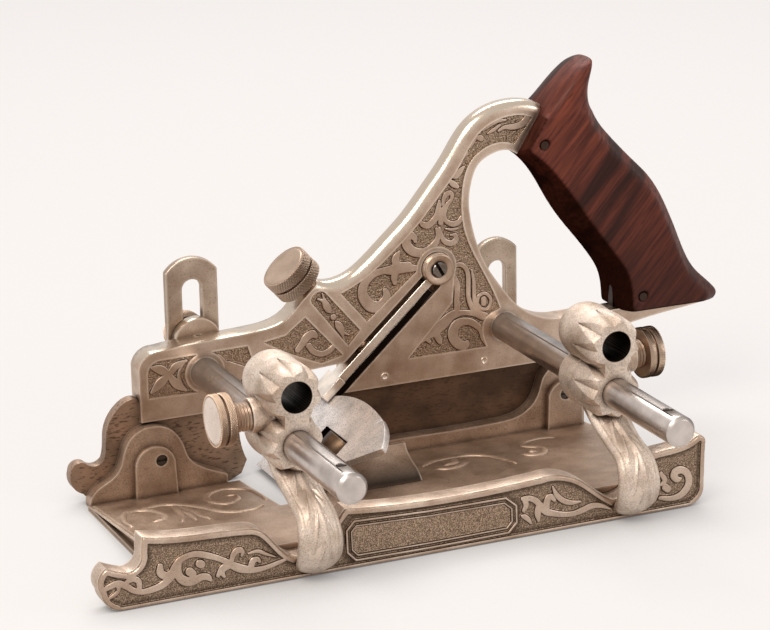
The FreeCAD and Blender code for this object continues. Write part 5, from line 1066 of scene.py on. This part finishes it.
def make_heads():
    """Two knurled bands and a turned outer face on each head, and threads on the fence's screws."""
    rise = (-math.sin(SLOPE), 0, math.cos(SLOPE))
    along, above = 51.6, 44.7
    cap = (20.6 + along * math.cos(SLOPE) - above * math.sin(SLOPE), STOCK_THICKNESS / 2,
           along * math.sin(SLOPE) + above * math.cos(SLOPE))
    # Node, body, outer face's centre, way out, radius, thickness
    heads = [("front_fence_screw", "front_thumbscrew", (-22, SCREW_Y, SCREW_Z), (-1, 0, 0), 7.6, 5.0),
             ("rear_fence_screw", "rear_thumbscrew", (123.97, SCREW_Y, SCREW_Z), (1, 0, 0), 7.6, 5.0),
             ("cap_screw", "cap", cap, rise, 7.9, 8.0),
             ("front_stop_screw", "front_clamp", (0.7, 21.2, 46.0), (0, 1, 0), 6.5, 6.0),
             ("rear_stop_screw", "rear_clamp", (107.475, 21.2, 28.5), (0, 1, 0), 6.5, 6.0)]
    for node, body, face, way, radius, thickness in heads:
        band = (thickness - 0.9) / 2
        for number, depth in enumerate((band / 2, thickness - band / 2), start=1):
            knurled_band(radius + 0.02, band, at(*face) - Vector(way) * depth * MM, way, body,
                         f"{node}_knurl_{number}")
        dome = [(radius - 0.55, 0.02), (radius - 0.8, 0.16), (radius - 1.3, 0.22),
                (radius - 1.9, 0.12), (radius * 0.5, 0.2), (0.05, 0.24)]
        lathe(f"{node}_face", dome, at(*face), way,
              THUMB_FACE if node != "cap_screw" else THUMB_BRASS, body)
    for body, x, way in (("front_thumbscrew", -16.95, 1), ("rear_thumbscrew", ROD_X[1] + 14.15, -1)):
        lathe(f"{body}_thread", [(3.98, 0.06 * k) for k in range(98)], at(x, SCREW_Y, SCREW_Z),
              (way, 0, 0), THUMB_BRASS, body, wave=thread)


make_heads()


# %% The lever's pivot: a dished collar, and a screw head in two halves with its slot between
PIVOT_X, PIVOT_Z = 80.39, 61.37


def make_pivot():
    """What shows of the lever's pivot, and the two rivet heads below it."""
    lathe("lever_collar_dish",
          [(5.15, 0.0), (5.12, 0.45), (4.8, 0.62), (4.4, 0.6), (3.6, 0.34), (2.9, 0.24), (2.6, 0.03)],
          at(PIVOT_X, -2.0, PIVOT_Z), (0, -1, 0), THUMB_BRASS, "lever")
    slot_way, across = Vector((0.50, 0, -0.87)), Vector((0.87, 0, 0.50))
    radius = 2.5
    parts = []
    for side in (-1, 1):
        angles = [math.radians(a) for a in np.linspace(-77, 77, 28)]
        rim = [(math.cos(a) * radius * side, math.sin(a) * radius) for a in angles]
        base = [at(PIVOT_X, -2.25, PIVOT_Z) + (across * u + slot_way * v) * MM for u, v in rim]
        shoulder = [p + Vector((0, -0.4 * MM, 0)) for p in base]
        crown = [at(PIVOT_X, -2.95, PIVOT_Z)
                 + (across * (u * 0.86 + 0.05 * side) + slot_way * v * 0.9) * MM for u, v in rim]
        count = len(rim)
        faces = [tuple(range(2 * count, 3 * count))] + tube_faces(3, count)
        parts.append((base + shoulder + crown, faces))
    item = solid_piece("lever_screw_head", parts, SLOT_STEEL, smooth=False)
    fix = bmesh.new()
    fix.from_mesh(item.data)
    bmesh.ops.recalc_face_normals(fix, faces=fix.faces)
    fix.to_mesh(item.data)
    fix.free()
    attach(item, "stock")
    for number, rivet_x in enumerate((61.4, 97.07), start=1):
        lathe(f"skate_rivet_head_{number}",
              [(1.25, 0.0), (1.22, 0.2), (0.9, 0.3), (0.82, 0.14), (0.05, 0.16)],
              at(rivet_x, 0.0, 27.5), (0, -1, 0), NICKEL_STOCK, "stock")


make_pivot()

# %% [markdown]
# ## Stage, light and camera
# The object stands on a plain pale sweep under soft light, seen a little from the left and from
# above through a long lens. The floor keeps the object's shadow from the lamps, its pale glow is
# dimmed by a painted shadow where the object closes it in, and it is otherwise the pale ground.

# %% Floor, world and lights
PALE = "#f7f3f1"


def seen_directly(tree):
    """1 for rays of the camera, also through a mirror or glass, and 0 for rays of light."""
    path = add(tree, "ShaderNodeLightPath").outputs
    seen = calc(tree, "ADD", path["Is Camera Ray"], path["Is Glossy Ray"])
    return span(tree, calc(tree, "ADD", seen, path["Is Transmission Ray"]), 0.0, 1.0)


def make_floor():
    """A pale floor that keeps the object's shadow, with a painted shadow in its glow."""
    material, tree, shader, _ = new_material("Pale paper floor")
    shader.inputs["Base Color"].default_value = rgb("#e4dfdb")
    shader.inputs["Roughness"].default_value = 0.9
    # Painted shadow: the glow dims where the object closes the floor in
    shade = add(tree, "ShaderNodeAmbientOcclusion", {"Distance": 0.05}, samples=12).outputs["AO"]
    glow = add(tree, "ShaderNodeEmission", {"Color": rgb(PALE),
               "Strength": span(tree, shade, 0.0, 0.85, 0.10, 0.97)})
    mixed = add(tree, "ShaderNodeMixShader", {0: product(tree, seen_directly(tree), 0.7),
                1: shader.outputs["BSDF"], 2: glow.outputs["Emission"]})
    output = next(node for node in tree.nodes if node.type == "OUTPUT_MATERIAL")
    tree.links.new(mixed.outputs[0], output.inputs["Surface"])
    half = 4.0
    corners = [(-half, -half, 0), (half, -half, 0), (half, half, 0), (-half, half, 0)]
    new_piece("floor", corners, [(0, 1, 2, 3)], material, smooth=False)


def make_world():
    """Pale to the camera, and a little dimmer as a light."""
    world = bpy.data.worlds.new("Pale room")
    bpy.context.scene.world = world
    world.use_nodes = True
    tree = world.node_tree
    tree.nodes.clear()
    back = add(tree, "ShaderNodeBackground", {"Color": rgb(PALE),
               "Strength": span(tree, seen_directly(tree), 0.0, 1.0, 0.62, 1.0)})
    add(tree, "ShaderNodeOutputWorld", {"Surface": back.outputs[0]})


def soft_light(name, place, target, size, watts, colour="#ffffff"):
    """A rectangular lamp aimed at a target."""
    lamp = bpy.data.lights.new(name, "AREA")
    lamp.shape = "RECTANGLE"
    lamp.size, lamp.size_y = size
    lamp.energy = watts
    lamp.color = rgb(colour)[:3]
    item = link(name, lamp)
    item.location = place
    item.rotation_euler = (Vector(target) - Vector(place)).to_track_quat("-Z", "Y").to_euler()


make_floor()
make_world()
soft_light("key from the upper left", (-0.55, -0.35, 0.85), (0, 0, 0.04), (0.5, 0.5), 7.0, "#fff8f0")
soft_light("top light behind", (0.25, 0.65, 0.9), (0, 0, 0.05), (0.8, 0.4), 6.0)
soft_light("fill from the right", (0.9, -0.7, 0.5), (0, 0, 0.04), (0.5, 0.5), 2.5)

# %% Camera: lens in pixels, angles in degrees, distances in millimetres from the front rod
FOCAL_PX, WIDTH_PX, HEIGHT_PX = 2929.5, 770, 630
CENTRE_PX = (379.1, 312.0)
AZIMUTH, ELEVATION, ROLL = -23.55, 17.11, -1.16
TARGET_RIGHT, TARGET_UP, DISTANCE = 54.54, 18.97, 919.13


def make_camera():
    """The camera where the photograph was taken from."""
    a, e, r = (math.radians(v) for v in (AZIMUTH, ELEVATION, ROLL))
    back = Vector((math.sin(a) * math.cos(e), -math.cos(a) * math.cos(e), math.sin(e)))
    side = Vector((math.cos(a), math.sin(a), 0))
    top = back.cross(side)
    right = math.cos(r) * side + math.sin(r) * top
    up = -math.sin(r) * side + math.cos(r) * top
    eye = TARGET_RIGHT * right + TARGET_UP * up + DISTANCE * back
    lens = bpy.data.cameras.new("camera")
    lens.sensor_width = 36.0
    lens.lens = FOCAL_PX / WIDTH_PX * lens.sensor_width
    lens.shift_x = (WIDTH_PX / 2 - CENTRE_PX[0]) / WIDTH_PX
    lens.shift_y = (CENTRE_PX[1] - HEIGHT_PX / 2) / WIDTH_PX
    lens.clip_end = 20.0
    item = link("camera", lens)
    place = Matrix((right, up, back)).transposed().to_4x4()
    place.translation = at(eye.x, eye.y, eye.z + BOSS_Z[0])
    item.matrix_world = place
    bpy.context.scene.camera = item


make_camera()
bpy.context.scene.view_settings.view_transform = "Standard"
